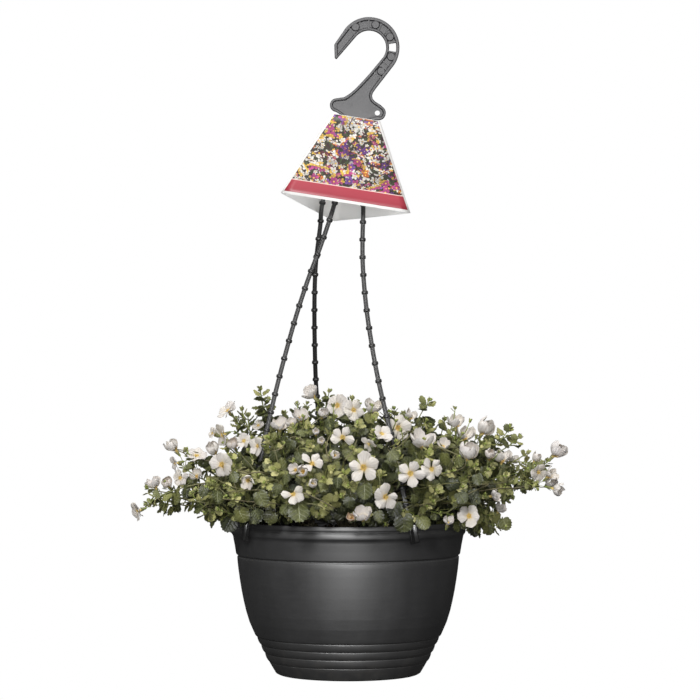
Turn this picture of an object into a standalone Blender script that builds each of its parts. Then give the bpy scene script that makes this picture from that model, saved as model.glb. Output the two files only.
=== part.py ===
"""A planted hanging basket: white bacopa in a ribbed plastic pot that hangs from a flat hook by three beaded strands, with a card sleeve over the tops of the strands.

Lengths below are in millimetres and are scaled to metres when a mesh is made.
Frame: the origin is the centre of the pot's flat underside, +Z is up and the front is -Y.
Run with: blender --background --python part.py
"""

import math
import random

import bmesh
import bpy
from mathutils import Matrix, Vector
from mathutils.bvhtree import BVHTree

MM = 0.001

# ------------------------------------------------------------------ driving dimensions
POT_HEIGHT = 164.0
RIM_RADIUS = 125.4
FOOT_RADIUS = 77.4
WALL = 2.0
TURN_STEPS = 36
DRAIN_RADIUS = 3.6
DRAIN_CIRCLE = 43.0
COMPOST_TOP = 151.0
FIT_GAP = 0.4  # left between pieces that touch

STRAND_RADIUS = 2.3
BEAD_RADIUS = 3.3
BEAD_SPACING = 19.5
CLIP_WIDTH = 11.6

HOOK_DEPTH = 6.0
HOOK_WEB = 1.8
HOOK_FLANGE = 2.8
BOW_CENTRE = Vector((22.3, 0.0, 668.1))
BOW_INNER = 18.3
BOW_OUTER = 32.5
FOOT_TILT = math.radians(10.5)  # the hook's foot hangs this far out of level
LUG_HOLE_RADIUS = 2.6
LUG_PITCH = 10.6

CARD = 0.6
CARD_TOP_SIDE = 52.5
CARD_BOTTOM_SIDE = 138.4
CARD_HEIGHT = 97.7
CARD_TOP_CENTRE = Vector((6.6, 0.0, 590.9))
CARD_ROLL, CARD_YAW, CARD_PITCH = (math.radians(a) for a in (8.6, 5.3, 6.5))

CROWN_CIRCLE = 50.0
CROWN_RADIUS = 11.0
STEM_RADIUS = 1.1
LEAF_LENGTH = 19.0
LEAF_WIDTH = 15.0
LEAF_THICKNESS = 0.6

# Flowers at the ends of the main shoots: centre of the face, way it faces, width across the petals.
FLOWERS = (
    ((16.8, -185, 227), (0.05, -1.0, 0.12), 31),
    ((61.7, -180, 219), (0.12, -1.0, 0.05), 28),
    ((83.5, -168, 223), (0.80, -0.65, 0.10), 25),
    ((36.1, -188, 198), (-0.10, -1.0, -0.10), 27),
    ((51.5, -108, 265), (0.00, -1.0, 0.35), 26),
    ((-5.7, -120, 257), (0.20, -1.0, 0.12), 24),
    ((-34.0, -178, 232), (-0.30, -0.9, 0.30), 24),
    ((-55.0, -182, 201), (-0.40, -0.9, 0.10), 23),
    ((-131, -120, 227), (-0.50, -0.8, 0.12), 26),
    ((-207, -22, 207), (-0.90, -0.3, 0.30), 16),
    ((-225, 2, 174), (-0.90, -0.1, -0.35), 18),
    ((-133, 32, 280), (-0.60, -0.2, 0.70), 19),
    ((-41.6, 34, 301), (-0.25, 0.5, 0.80), 19),
    ((8.0, -48, 281), (0.20, -0.7, 0.70), 21),
    ((122, -150, 177), (0.15, -1.0, -0.05), 24),
    ((163, -80, 237), (0.45, -0.6, 0.65), 18),
    ((224, 0, 237), (0.80, -0.1, 0.50), 18),
    ((147, 8, 263), (0.50, -0.3, 0.75), 18),
    ((2.0, 190, 221), (0.05, 1.0, 0.20), 28),
    ((-84, 176, 226), (-0.40, 0.9, 0.25), 26),
    ((96, 172, 230), (0.45, 0.9, 0.25), 27),
    ((-164, 102, 221), (-0.80, 0.6, 0.20), 24),
    ((176, 104, 214), (0.85, 0.6, 0.10), 24),
    ((46, 110, 279), (0.15, 0.6, 0.80), 24),
)

# Front-view routes of the strands, from the hook down to the rim: x and z; the depth follows from the hook's plane to the clip.
LEFT_ROUTE = ((-13.5, 503.7), (-28.8, 456.4), (-42.7, 418.8), (-55.0, 380.7), (-65.9, 341.4), (-75.8, 302.8), (-84.6, 264.3), (-91.4, 231.0), (-98.0, 196.0))
BACK_ROUTE = ((-26.5, 507.6), (-30.0, 478.3), (-34.7, 439.8), (-36.4, 401.8), (-36.4, 354.0), (-35.1, 307.3), (-31.6, 262.0), (-27.0, 212.0))
RIGHT_ROUTE = ((16.0, 499.3), (15.2, 459.7), (15.7, 430.1), (18.9, 391.7), (24.2, 354.0), (30.8, 317.2), (39.0, 280.7), (48.3, 242.5), (56.0, 202.5), (60.8, 182.1))


# ------------------------------------------------------------------ scene and materials
for obj in list(bpy.data.objects):
    bpy.data.objects.remove(obj, do_unlink=True)
bpy.context.scene.unit_settings.scale_length = 1.0


def principled(name, colour, roughness, metallic=0.0):
    material = bpy.data.materials.new(name)
    material.use_nodes = True
    shader = material.node_tree.nodes["Principled BSDF"]
    shader.inputs["Base Color"].default_value = (*colour, 1.0)
    shader.inputs["Roughness"].default_value = roughness
    shader.inputs["Metallic"].default_value = metallic
    material.diffuse_color = (*colour, 1.0)
    return material


POT_PLASTIC = principled("anthracite_plastic", (0.032, 0.033, 0.035), 0.42)
STRAND_PLASTIC = principled("strand_plastic", (0.045, 0.045, 0.048), 0.45)
HOOK_PLASTIC = principled("hook_plastic", (0.13, 0.13, 0.135), 0.4)
CARD_STOCK = principled("printed_card", (0.78, 0.76, 0.72), 0.45)
COMPOST = principled("compost", (0.035, 0.022, 0.014), 0.95)
GREEN = principled("leaf_green", (0.12, 0.19, 0.045), 0.5)
STEM_GREEN = principled("stem_green", (0.16, 0.19, 0.07), 0.55)
PETAL = principled("petal_white", (0.82, 0.78, 0.79), 0.6)


def finish(name, bm, material, sharp=35.0):
    """Makes the object from a mesh in millimetres, its faces pointing out."""
    bmesh.ops.recalc_face_normals(bm, faces=bm.faces)
    bm.transform(Matrix.Scale(MM, 4))
    mesh = bpy.data.meshes.new(name)
    bm.to_mesh(mesh)
    bm.free()
    mesh.materials.append(material)
    mesh.shade_smooth()
    mesh.set_sharp_from_angle(angle=math.radians(sharp))
    obj = bpy.data.objects.new(name, mesh)
    bpy.context.scene.collection.objects.link(obj)
    return obj


def helper(obj):
    """A cutter or a guide: it shapes another piece and is no piece itself."""
    obj.hide_render = True
    obj.display_type = "WIRE"
    return obj


def boolean(obj, other, operation):
    modifier = obj.modifiers.new(f"{operation.lower()}_{other.name}", "BOOLEAN")
    modifier.operation = operation
    modifier.object = other
    modifier.solver = "EXACT"


# ------------------------------------------------------------------ shape makers
def turned(profile, steps=TURN_STEPS):
    """A solid of revolution about Z from (radius, height) points that start and end on the axis."""
    bm = bmesh.new()
    verts = [bm.verts.new((r, 0.0, z)) for r, z in profile]
    edges = [bm.edges.new(pair) for pair in zip(verts, verts[1:])]
    bmesh.ops.spin(bm, geom=verts + edges, axis=(0, 0, 1), cent=(0, 0, 0), angle=math.tau, steps=steps, use_merge=True)
    bmesh.ops.remove_doubles(bm, verts=bm.verts, dist=1e-4)
    return bm


def prism(outline, y0, y1):
    """An (x, z) outline extruded along Y."""
    bm = bmesh.new()
    face = bm.faces.new([bm.verts.new((x, y0, z)) for x, z in outline])
    made = bmesh.ops.extrude_face_region(bm, geom=[face])["geom"]
    bmesh.ops.translate(bm, verts=[g for g in made if isinstance(g, bmesh.types.BMVert)], vec=(0, y1 - y0, 0))
    return bm


def box(size, matrix):
    bm = bmesh.new()
    bmesh.ops.create_cube(bm, size=1.0, matrix=matrix @ Matrix.Diagonal((*size, 1.0)))
    return bm


def rod(radius, y0, y1, x, z, sides=16):
    """A cylinder along Y."""
    place = Matrix.Translation((x, (y0 + y1) / 2, z)) @ Matrix.Rotation(math.pi / 2, 4, "X")
    bm = bmesh.new()
    bmesh.ops.create_cone(bm, cap_ends=True, segments=sides, radius1=radius, radius2=radius, depth=y1 - y0, matrix=place)
    return bm


def smooth_route(points, step):
    """Evenly spaced points on the Catmull-Rom curve through the given ones."""
    ends = [points[0] * 2 - points[1], *points, points[-1] * 2 - points[-2]]
    fine = []
    for a, b, c, d in zip(ends, ends[1:], ends[2:], ends[3:]):
        for i in range(24):
            t = i / 24
            fine.append(0.5 * (2 * b + (c - a) * t + (2 * a - 5 * b + 4 * c - d) * t * t + (3 * b - a - 3 * c + d) * t**3))
    fine.append(points[-1].copy())
    lengths = [0.0]
    for a, b in zip(fine, fine[1:]):
        lengths.append(lengths[-1] + (b - a).length)
    count = max(2, round(lengths[-1] / step))
    route, k = [], 0
    for i in range(count + 1):
        want = lengths[-1] * i / count
        while k < len(fine) - 2 and lengths[k + 1] < want:
            k += 1
        span = lengths[k + 1] - lengths[k]
        route.append(fine[k].lerp(fine[k + 1], (want - lengths[k]) / span if span else 0.0))
    return route


def frames_along(points, up):
    """A tangent and two cross directions at each point, turned as little as possible."""
    out, side = [], None
    for i, point in enumerate(points):
        tangent = (points[min(i + 1, len(points) - 1)] - points[max(i - 1, 0)]).normalized()
        if side is None:
            side = tangent.cross(up).normalized()
        side = (side - tangent * side.dot(tangent)).normalized()
        out.append((point, tangent, side, tangent.cross(side)))
    return out


def bridged(bm, rings):
    for a, b in zip(rings, rings[1:]):
        for i in range(len(a)):
            j = (i + 1) % len(a)
            bm.faces.new((a[i], a[j], b[j], b[i]))


def swept(stations, sides):
    """A closed tube through (point, side, other side, radius) stations."""
    bm = bmesh.new()
    rings = [
        [bm.verts.new(p + (u * math.cos(a) + v * math.sin(a)) * r) for a in (math.tau * (k + 0.5) / sides for k in range(sides))]
        for p, u, v, r in stations
    ]
    bridged(bm, rings)
    bm.faces.new(rings[0])
    bm.faces.new(rings[-1])
    return bm


# ------------------------------------------------------------------ pot and compost
def rib(r0, z0, r1, z1):
    """A rounded rib between two grooves."""
    return [(r0 + (r1 - r0) * 0.32 + 1.0, z0 + (z1 - z0) * 0.25), (r0 + (r1 - r0) * 0.78 + 1.0, z0 + (z1 - z0) * 0.72)]


GROOVES = ((84.4, 13.8), (88.9, 23.2), (93.0, 31.8), (97.4, 40.6))
outside = [(0, 0), (26, 0), (27.5, 1.2), (58.5, 1.2), (60, 0), (FOOT_RADIUS - 2.8, 0), (FOOT_RADIUS, 1.4), (82.0, 9.2)]
for low, high in zip(GROOVES, GROOVES[1:]):
    outside += [low, *rib(*low, *high)]
outside += [GROOVES[-1], (99.9, 43.0), (105.4, 56), (111.4, 78), (115.4, 100), (118.5, 126.6), (119.8, 128.2)]
outside += [(123.5, 146), (123.4, 149.6), (124.7, 150.4), (RIM_RADIUS, 155.3), (124.6, 159.3), (125.0, 163.0), (124.0, POT_HEIGHT)]
inside = [(122.4, POT_HEIGHT), (121.5, 162.6), (121.4, 148), (116.9, 126), (113.3, 100), (109.1, 78), (103.0, 56)]
inside += [(95.4, 41), (82.0, 13.8), (77.6, 5.6), (74.6, 3.0), (0, 3.0)]
pot = finish("pot", turned(outside + inside), POT_PLASTIC)
for i in range(4):
    angle = math.radians(45 + 90 * i)
    bm = bmesh.new()
    bmesh.ops.create_cone(bm, cap_ends=True, segments=14, radius1=DRAIN_RADIUS, radius2=DRAIN_RADIUS, depth=12.0,
                          matrix=Matrix.Translation((DRAIN_CIRCLE * math.cos(angle), DRAIN_CIRCLE * math.sin(angle), 1.0)))
    cutter = helper(finish(f"drain_cutter_{i + 1}", bm, POT_PLASTIC))
    boolean(pot, cutter, "DIFFERENCE")

fill = [(0, 3.0 + FIT_GAP), (74.2, 3.0 + FIT_GAP), (77.1, 5.9), (81.4, 13.8), (94.7, 41), (102.4, 56), (108.5, 78), (112.7, 100), (116.3, 126), (120.1, 144.5)]
fill += [(117.5, COMPOST_TOP - 3.0), (84, COMPOST_TOP - 0.8), (45, COMPOST_TOP), (0, COMPOST_TOP)]
compost = finish("compost", turned(fill), COMPOST)


# ------------------------------------------------------------------ hook
def arc(centre, radius, start, end, steps):
    return [(centre.x + radius * math.cos(math.radians(start + (end - start) * i / steps)),
             centre.z + radius * math.sin(math.radians(start + (end - start) * i / steps))) for i in range(steps + 1)]


across = Vector((math.cos(FOOT_TILT), 0, -math.sin(FOOT_TILT)))  # along the foot
down = Vector((-math.sin(FOOT_TILT), 0, -math.cos(FOOT_TILT)))
LEFT_LOBE = BOW_CENTRE + Vector((-34.7, 0, -61.4))
RIGHT_LOBE = BOW_CENTRE + Vector((10.1, 0, -69.8))
foot = (LEFT_LOBE + RIGHT_LOBE) / 2
LUGS = [foot + down * 18.5 + across * (LUG_PITCH * k) for k in (-1, 0, 1)]


def rel(*points):
    return [(BOW_CENTRE.x + x, BOW_CENTRE.z + z) for x, z in points]


def tilted(*points):
    """Points given along and below the foot."""
    return [((foot + across * a + down * d).x, (foot + across * a + down * d).z) for a, d in points]


hook_outline = (
    rel((-34.9, -12.5), (-36.7, -10.4), (-37.1, 2.7))
    + arc(BOW_CENTRE, BOW_OUTER, 140, -36, 16)
    + rel((7.1, -43.9), (3.2, -51.4), (6.4, -57.6), (12.5, -61.5))
    + arc(RIGHT_LOBE, 7.8, 40, -80, 6)
    + tilted((15.8, 9.5), (15.6, 21.0), (13.4, 23.6), (-13.4, 23.6), (-15.6, 21.0), (-15.8, 9.5))
    + arc(LEFT_LOBE, 7.1, 262, 96, 7)
    + rel((-26.6, -53.0), (-15.7, -45.2), (0.0, -28.6))
    + arc(BOW_CENTRE, BOW_INNER, -43, 141, 14)
)
hook = finish("hook", prism(hook_outline, -HOOK_DEPTH / 2, HOOK_DEPTH / 2), HOOK_PLASTIC)
web_face = HOOK_WEB / 2


def pocket(name, outline):
    """Sinks the same pocket into both faces, down to the web."""
    for side, y0, y1 in (("front", -HOOK_DEPTH, -web_face), ("back", web_face, HOOK_DEPTH)):
        boolean(hook, helper(finish(f"{name}_{side}", prism(outline, y0, y1), HOOK_PLASTIC)), "DIFFERENCE")


def cell(start, end, steps):
    inner, outer = BOW_INNER + HOOK_FLANGE, BOW_OUTER - HOOK_FLANGE
    return arc(BOW_CENTRE, outer, start, end, steps) + arc(BOW_CENTRE, inner, end, start, steps)


pocket("tip_pocket", rel((-33.6, -9.2), (-34.3, 2.0), (-23.6, 17.4), (-17.3, 12.9)))
pocket("bow_pocket_a", cell(131, 119, 2))
pocket("bow_pocket_b", cell(101, 92, 2))
pocket("bow_pocket_c", cell(88, 69, 3))
pocket("bow_pocket_d", cell(65, 45, 3))
pocket("bow_pocket_e", cell(-36, -22, 2))
pocket("shank_pocket", rel((18.8, -17.2), (21.0, -19.6), (9.7, -34.0), (7.2, -31.2)))
pocket("foot_pocket", rel((4.0, -36.0), (6.2, -38.2), (0.2, -51.0), (4.4, -60.2), (10.2, -64.6))
       + tilted((21.0, 4.6), (13.0, 8.6), (12.8, 12.4), (-12.8, 12.4), (-13.0, 8.6), (-25.2, 3.6), (-26.4, -1.8), (-22.0, -4.6)) + rel((-25.4, -56.6), (-14.6, -49.2)))
boolean(hook, helper(finish("bow_window", prism(cell(8, -13, 2), -HOOK_DEPTH, HOOK_DEPTH), HOOK_PLASTIC)), "DIFFERENCE")
boolean(hook, helper(finish("tag_hole", rod(2.7, -HOOK_DEPTH, HOOK_DEPTH, RIGHT_LOBE.x - 1.2, RIGHT_LOBE.z, 14), HOOK_PLASTIC)), "DIFFERENCE")
for k, lug in enumerate(LUGS):
    boolean(hook, helper(finish(f"lug_hole_{k + 1}", rod(LUG_HOLE_RADIUS, -HOOK_DEPTH, HOOK_DEPTH, lug.x, lug.z, 14), HOOK_PLASTIC)), "DIFFERENCE")
for k, (x, z) in enumerate(rel((-14.5, 21.9), (7.0, 24.3), (22.3, 11.3), (23.9, -9.5), (12.9, -25.1))):
    boolean(hook, helper(finish(f"boss_{k + 1}", rod(3.9, -2.3, 2.3, x, z, 12), HOOK_PLASTIC)), "UNION")


# ------------------------------------------------------------------ strands
def strand(name, lug, facing, route, clip_angle, bow):
    """A beaded strand with a snap peg at its top, through the hook's foot, and a clip over the rim at its bottom. facing is -1 where the peg enters from the front, 1 from the back. bow over 1 keeps it near the hook's plane at first."""
    tab = facing * (HOOK_DEPTH / 2 + FIT_GAP + 1.1)
    radial = Vector((math.sin(clip_angle), -math.cos(clip_angle), 0))
    head = lug + down * 8.2 + Vector((0, tab, 0))
    seat = radial * 122.6 + Vector((0, 0, POT_HEIGHT + 2.0))
    through = [head, *(Vector((x, head.y + (seat.y - head.y) * ((head.z - z) / (head.z - seat.z)) ** bow, z)) for x, z in route), seat]
    points = smooth_route(through, BEAD_SPACING)
    stations = []
    for p, tangent, u, v in frames_along(points, Vector((0, 1, 0))):
        bead = 0 < len(stations) and p is not points[-1]
        for shift, radius in ((-1.2, STRAND_RADIUS), (0.0, BEAD_RADIUS), (1.2, STRAND_RADIUS)) if bead else ((0.0, STRAND_RADIUS),):
            stations.append((p + tangent * shift, u, v, radius))
    body = finish(name, swept(stations, 6), STRAND_PLASTIC)

    # Peg: a tab on one face of the foot, a pin through its hole and a retaining head on the other face.
    face = HOOK_DEPTH / 2 + FIT_GAP
    peg = turned([(0, face + 2.2), (3.7, face + 2.2), (3.7, face), (2.1, face), (2.1, -face), (3.3, -face), (2.4, -face - 1.5), (0, -face - 1.5)], 12)
    peg.transform(Matrix.Translation(lug) @ Matrix.Rotation(-facing * math.pi / 2, 4, "X"))
    neck = box((4.0, 1.9, 9.6), Matrix.Translation(lug + down * 4.4 + Vector((0, tab, 0))) @ Matrix.Rotation(FOOT_TILT, 4, "Y"))

    # Clip: a U over the rim whose outer leg turns in under the rim's lower edge, with two ribs down its face.
    section = [(118.6, 153.0), (118.6, 166.8), (128.2, 166.8), (128.2, 145.6), (124.4, 145.6), (124.4, 148.6), (126.0, 149.2), (126.0, 164.7), (120.5, 164.7), (120.5, 153.0)]
    place = Matrix.Rotation(clip_angle + math.pi, 4, "Z")  # the section is drawn along +Y, which this turns to the clip's side of the pot
    saddle = bmesh.new()
    first = saddle.faces.new([saddle.verts.new((-CLIP_WIDTH / 2, r, z)) for r, z in section])
    made = bmesh.ops.extrude_face_region(saddle, geom=[first])["geom"]
    bmesh.ops.translate(saddle, verts=[g for g in made if isinstance(g, bmesh.types.BMVert)], vec=(CLIP_WIDTH, 0, 0))
    saddle.transform(place)
    ribs = [box((1.6, 1.7, 19.0), place @ Matrix.Translation((x, 128.35, 156.1))) for x in (-3.6, 3.6)]
    for part_name, bm in (("peg", peg), ("neck", neck), ("clip", saddle), ("rib_a", ribs[0]), ("rib_b", ribs[1])):
        boolean(body, helper(finish(f"{name}_{part_name}", bm, STRAND_PLASTIC)), "UNION")
    return body


for name, lug, facing, route, angle, bow in (
    ("arm_back", LUGS[0], 1, BACK_ROUTE, 191, 1.5),
    ("arm_left", LUGS[1], -1, LEFT_ROUTE, -57, 1.0),
    ("arm_right", LUGS[2], -1, RIGHT_ROUTE, 32, 1.0),
):
    strand(name, lug, facing, route, math.radians(angle), bow)


# ------------------------------------------------------------------ card sleeve
def card_frustum(inset, top, bottom):
    """The three-sided frustum that is inset behind the sleeve's faces, between two heights measured down from its top."""
    slope = (CARD_BOTTOM_SIDE - CARD_TOP_SIDE) / CARD_HEIGHT
    lean = math.atan(slope / (2 * math.sqrt(3)))
    bm = bmesh.new()
    rings = []
    for z in (top, bottom):
        side = CARD_TOP_SIDE + slope * z - 2 * math.sqrt(3) * inset / math.cos(lean)
        inner = side / (2 * math.sqrt(3))
        rings.append([bm.verts.new(c) for c in ((-side / 2, -inner, -z), (side / 2, -inner, -z), (0, 2 * inner, -z))])
    bridged(bm, rings)
    bm.faces.new(rings[0])
    bm.faces.new(rings[1])
    return bm


card_place = (
    Matrix.Translation(CARD_TOP_CENTRE)
    @ Matrix.Rotation(CARD_YAW, 4, "Z")
    @ Matrix.Rotation(CARD_ROLL, 4, "Y")
    @ Matrix.Rotation(-CARD_PITCH, 4, "X")
)
bm = card_frustum(0.0, 0.0, CARD_HEIGHT)
bm.transform(card_place)
label = finish("label_card", bm, CARD_STOCK, 20)
bm = card_frustum(CARD, CARD, CARD_HEIGHT + 5.0)
bm.transform(card_place)
boolean(label, helper(finish("card_hollow", bm, CARD_STOCK)), "DIFFERENCE")
slot = Matrix.Translation(foot + down * 12.0) @ Matrix.Rotation(FOOT_TILT, 4, "Y")
boolean(label, helper(finish("card_slot", box((32.6, 8.2, 16.0), slot), CARD_STOCK)), "DIFFERENCE")


# ------------------------------------------------------------------ plants
rng = random.Random(41)
placed = {}  # name: tree of the surface, in millimetres


def tree_of(obj):
    graph = bpy.context.evaluated_depsgraph_get()
    evaluated = obj.evaluated_get(graph)
    mesh = evaluated.to_mesh()
    points = [v.co / MM for v in mesh.vertices]
    faces = [tuple(p.vertices) for p in mesh.polygons]
    evaluated.to_mesh_clear()
    return BVHTree.FromPolygons(points, faces)


def clear_of_all(points, faces, others):
    """Whether this surface crosses none of the others."""
    tree = BVHTree.FromPolygons(points, faces)
    return not any(tree.overlap(other) for other in others)


bpy.context.view_layer.update()
for name in ("pot", "compost", "hook", "arm_back", "arm_left", "arm_right", "label_card"):
    placed[name] = tree_of(bpy.data.objects[name])

CROWNS = []
for k, angle in enumerate((0, 120, 240)):
    centre = Vector((CROWN_CIRCLE * math.sin(math.radians(angle)), -CROWN_CIRCLE * math.cos(math.radians(angle)), COMPOST_TOP + FIT_GAP))
    CROWNS.append(centre)
    profile = [(0, 0), (0.82 * CROWN_RADIUS, 0), (CROWN_RADIUS, 2.6), (0.80 * CROWN_RADIUS, 6.4), (0.42 * CROWN_RADIUS, 8.6), (0, 9.2)]
    bm = turned(profile, 9)
    bmesh.ops.translate(bm, verts=bm.verts, vec=centre)
    crown = finish(f"crown_{k + 1}", bm, STEM_GREEN)
    placed[crown.name] = tree_of(crown)


def flower_mesh(centre, facing, width, turn, grow=0.0):
    """Five lobes round a throat, a tube, a calyx and a flower stalk, as rings round one axis. grow swells it, to test clearance."""
    n = facing.normalized()
    u = n.cross(Vector((0.0, 0.0, 1.0)) if abs(n.z) < 0.9 else Vector((0, 1, 0))).normalized()
    v = n.cross(u)
    points, faces = [], []

    def add(r, a, z):
        points.append(centre + u * (r * math.cos(a)) + v * (r * math.sin(a)) + n * z)
        return len(points) - 1

    half = width / 2 + grow
    throat = add(0, 0, -1.2 + grow)
    rim = []
    for i in range(5):
        a = turn + math.tau * i / 5
        rim += [add(half * 0.34, a - math.tau / 10, -0.4), add(half * 0.84, a - 0.42, 0.4), add(half, a, 0.2), add(half * 0.84, a + 0.42, 0.4)]
    for i in range(20):
        faces.append((throat, rim[i], rim[(i + 1) % 20]))
    rings = []
    for r, z in ((1.7, -2.6), (1.3, -6.4), (2.3, -7.6), (0.75, -10.6), (0.65, -17.0 - grow)):
        rings.append([add(r + grow, turn + math.tau * i / 5, z - (grow if z > -3 else 0)) for i in range(5)])
    for i in range(5):
        corner, after = rings[0][i], rings[0][(i + 1) % 5]
        for k in (4 * i, 4 * i + 1, 4 * i + 2):
            faces.append((rim[k + 1], rim[k], corner))
        faces.append((rim[(4 * i + 4) % 20], rim[4 * i + 3], corner))
        faces.append((rim[(4 * i + 4) % 20], corner, after))
    for a, b in zip(rings, rings[1:]):
        for i in range(5):
            faces.append((a[i], b[i], b[(i + 1) % 5], a[(i + 1) % 5]))
    faces.append(tuple(rings[-1]))
    return points, faces, centre - n * (17.0 + grow)


def mesh_object(name, points, faces, material):
    bm = bmesh.new()
    verts = [bm.verts.new(p) for p in points]
    for face in faces:
        bm.faces.new([verts[i] for i in face])
    return finish(name, bm, material)


stalks = []
for k, (centre, facing, width) in enumerate(FLOWERS):
    centre, facing = Vector(centre), Vector(facing)
    turn = rng.uniform(0, math.tau / 5) + math.pi / 2
    points, faces, foot_point = flower_mesh(centre, facing, width, turn)
    name = f"flower_{k + 1:02d}"
    swollen = flower_mesh(centre, facing, width, turn, FIT_GAP)
    if not clear_of_all(swollen[0], swollen[1], placed.values()):
        print("touches its neighbour:", name)
    obj = mesh_object(name, points, faces, PETAL)
    placed[name] = tree_of(obj)
    stalks.append((name, foot_point, facing.normalized()))


class Shoot:
    """A stem with pairs of leaves, grown as one surface: each leaf is drawn out of a face of the square stem."""

    def __init__(self, start, heading, end, end_heading, sway):
        reach = (end - start).length
        p1 = start + heading * reach * 0.42 + sway
        p2 = end - end_heading * reach * 0.26 + sway * 0.4
        self.at = lambda t: start * (1 - t) ** 3 + p1 * (3 * t * (1 - t) ** 2) + p2 * (3 * t * t * (1 - t)) + end * t**3
        self.reach = reach

    def frame(self, t):
        tangent = (self.at(min(1.0, t + 0.01)) - self.at(max(0.0, t - 0.01))).normalized()
        side = tangent.cross(Vector((0, 0, 1)))
        side = side.normalized() if side.length > 0.15 else tangent.cross(Vector((1, 0, 0))).normalized()
        return self.at(t), tangent, side, tangent.cross(side)

    def radius(self, t):
        return STEM_RADIUS * (1.0 - 0.4 * t)

    def stem(self, nodes, grow=0.0):
        """Rings along the stem, two close together at each node."""
        times = [0.0]
        for t in nodes:
            times += [t - 0.8 / self.reach, t + 0.8 / self.reach]
        times.append(1.0)
        points = []
        for t in times:
            p, tangent, u, v = self.frame(t)
            p = p + tangent * (grow * (1 if t == 1.0 else -1 if t == 0.0 else 0))
            r = self.radius(t) + grow
            points += [p + u * r + v * r, p - u * r + v * r, p - u * r - v * r, p + u * r - v * r]
        return points, len(times)


def leaf_rings(root, out, wide, thick, length, width, droop, grow=0.0):
    """Four-cornered sections from the leaf stalk to the tip."""
    rings = []
    for along, share in ((0.20, 0.09), (0.55, 1.0), (1.0, 0.2)):
        p = root + out * (along * length + (grow if along == 1.0 else 0)) - Vector((0, 0, 1)) * (droop * length * along * along)
        w, h = width / 2 * share + grow, (LEAF_THICKNESS / 2 if along > 0.3 else 0.4) + grow
        rings.append([p + wide * a * w + thick * b * h for a, b in ((-1, -1), (1, -1), (1, 1), (-1, 1))])
    return rings


def ring_faces(first, count):
    return [(first + 4 * k + i, first + 4 * k + (i + 1) % 4, first + 4 * k + 4 + (i + 1) % 4, first + 4 * k + 4 + i) for k in range(count - 1) for i in range(4)]


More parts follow.
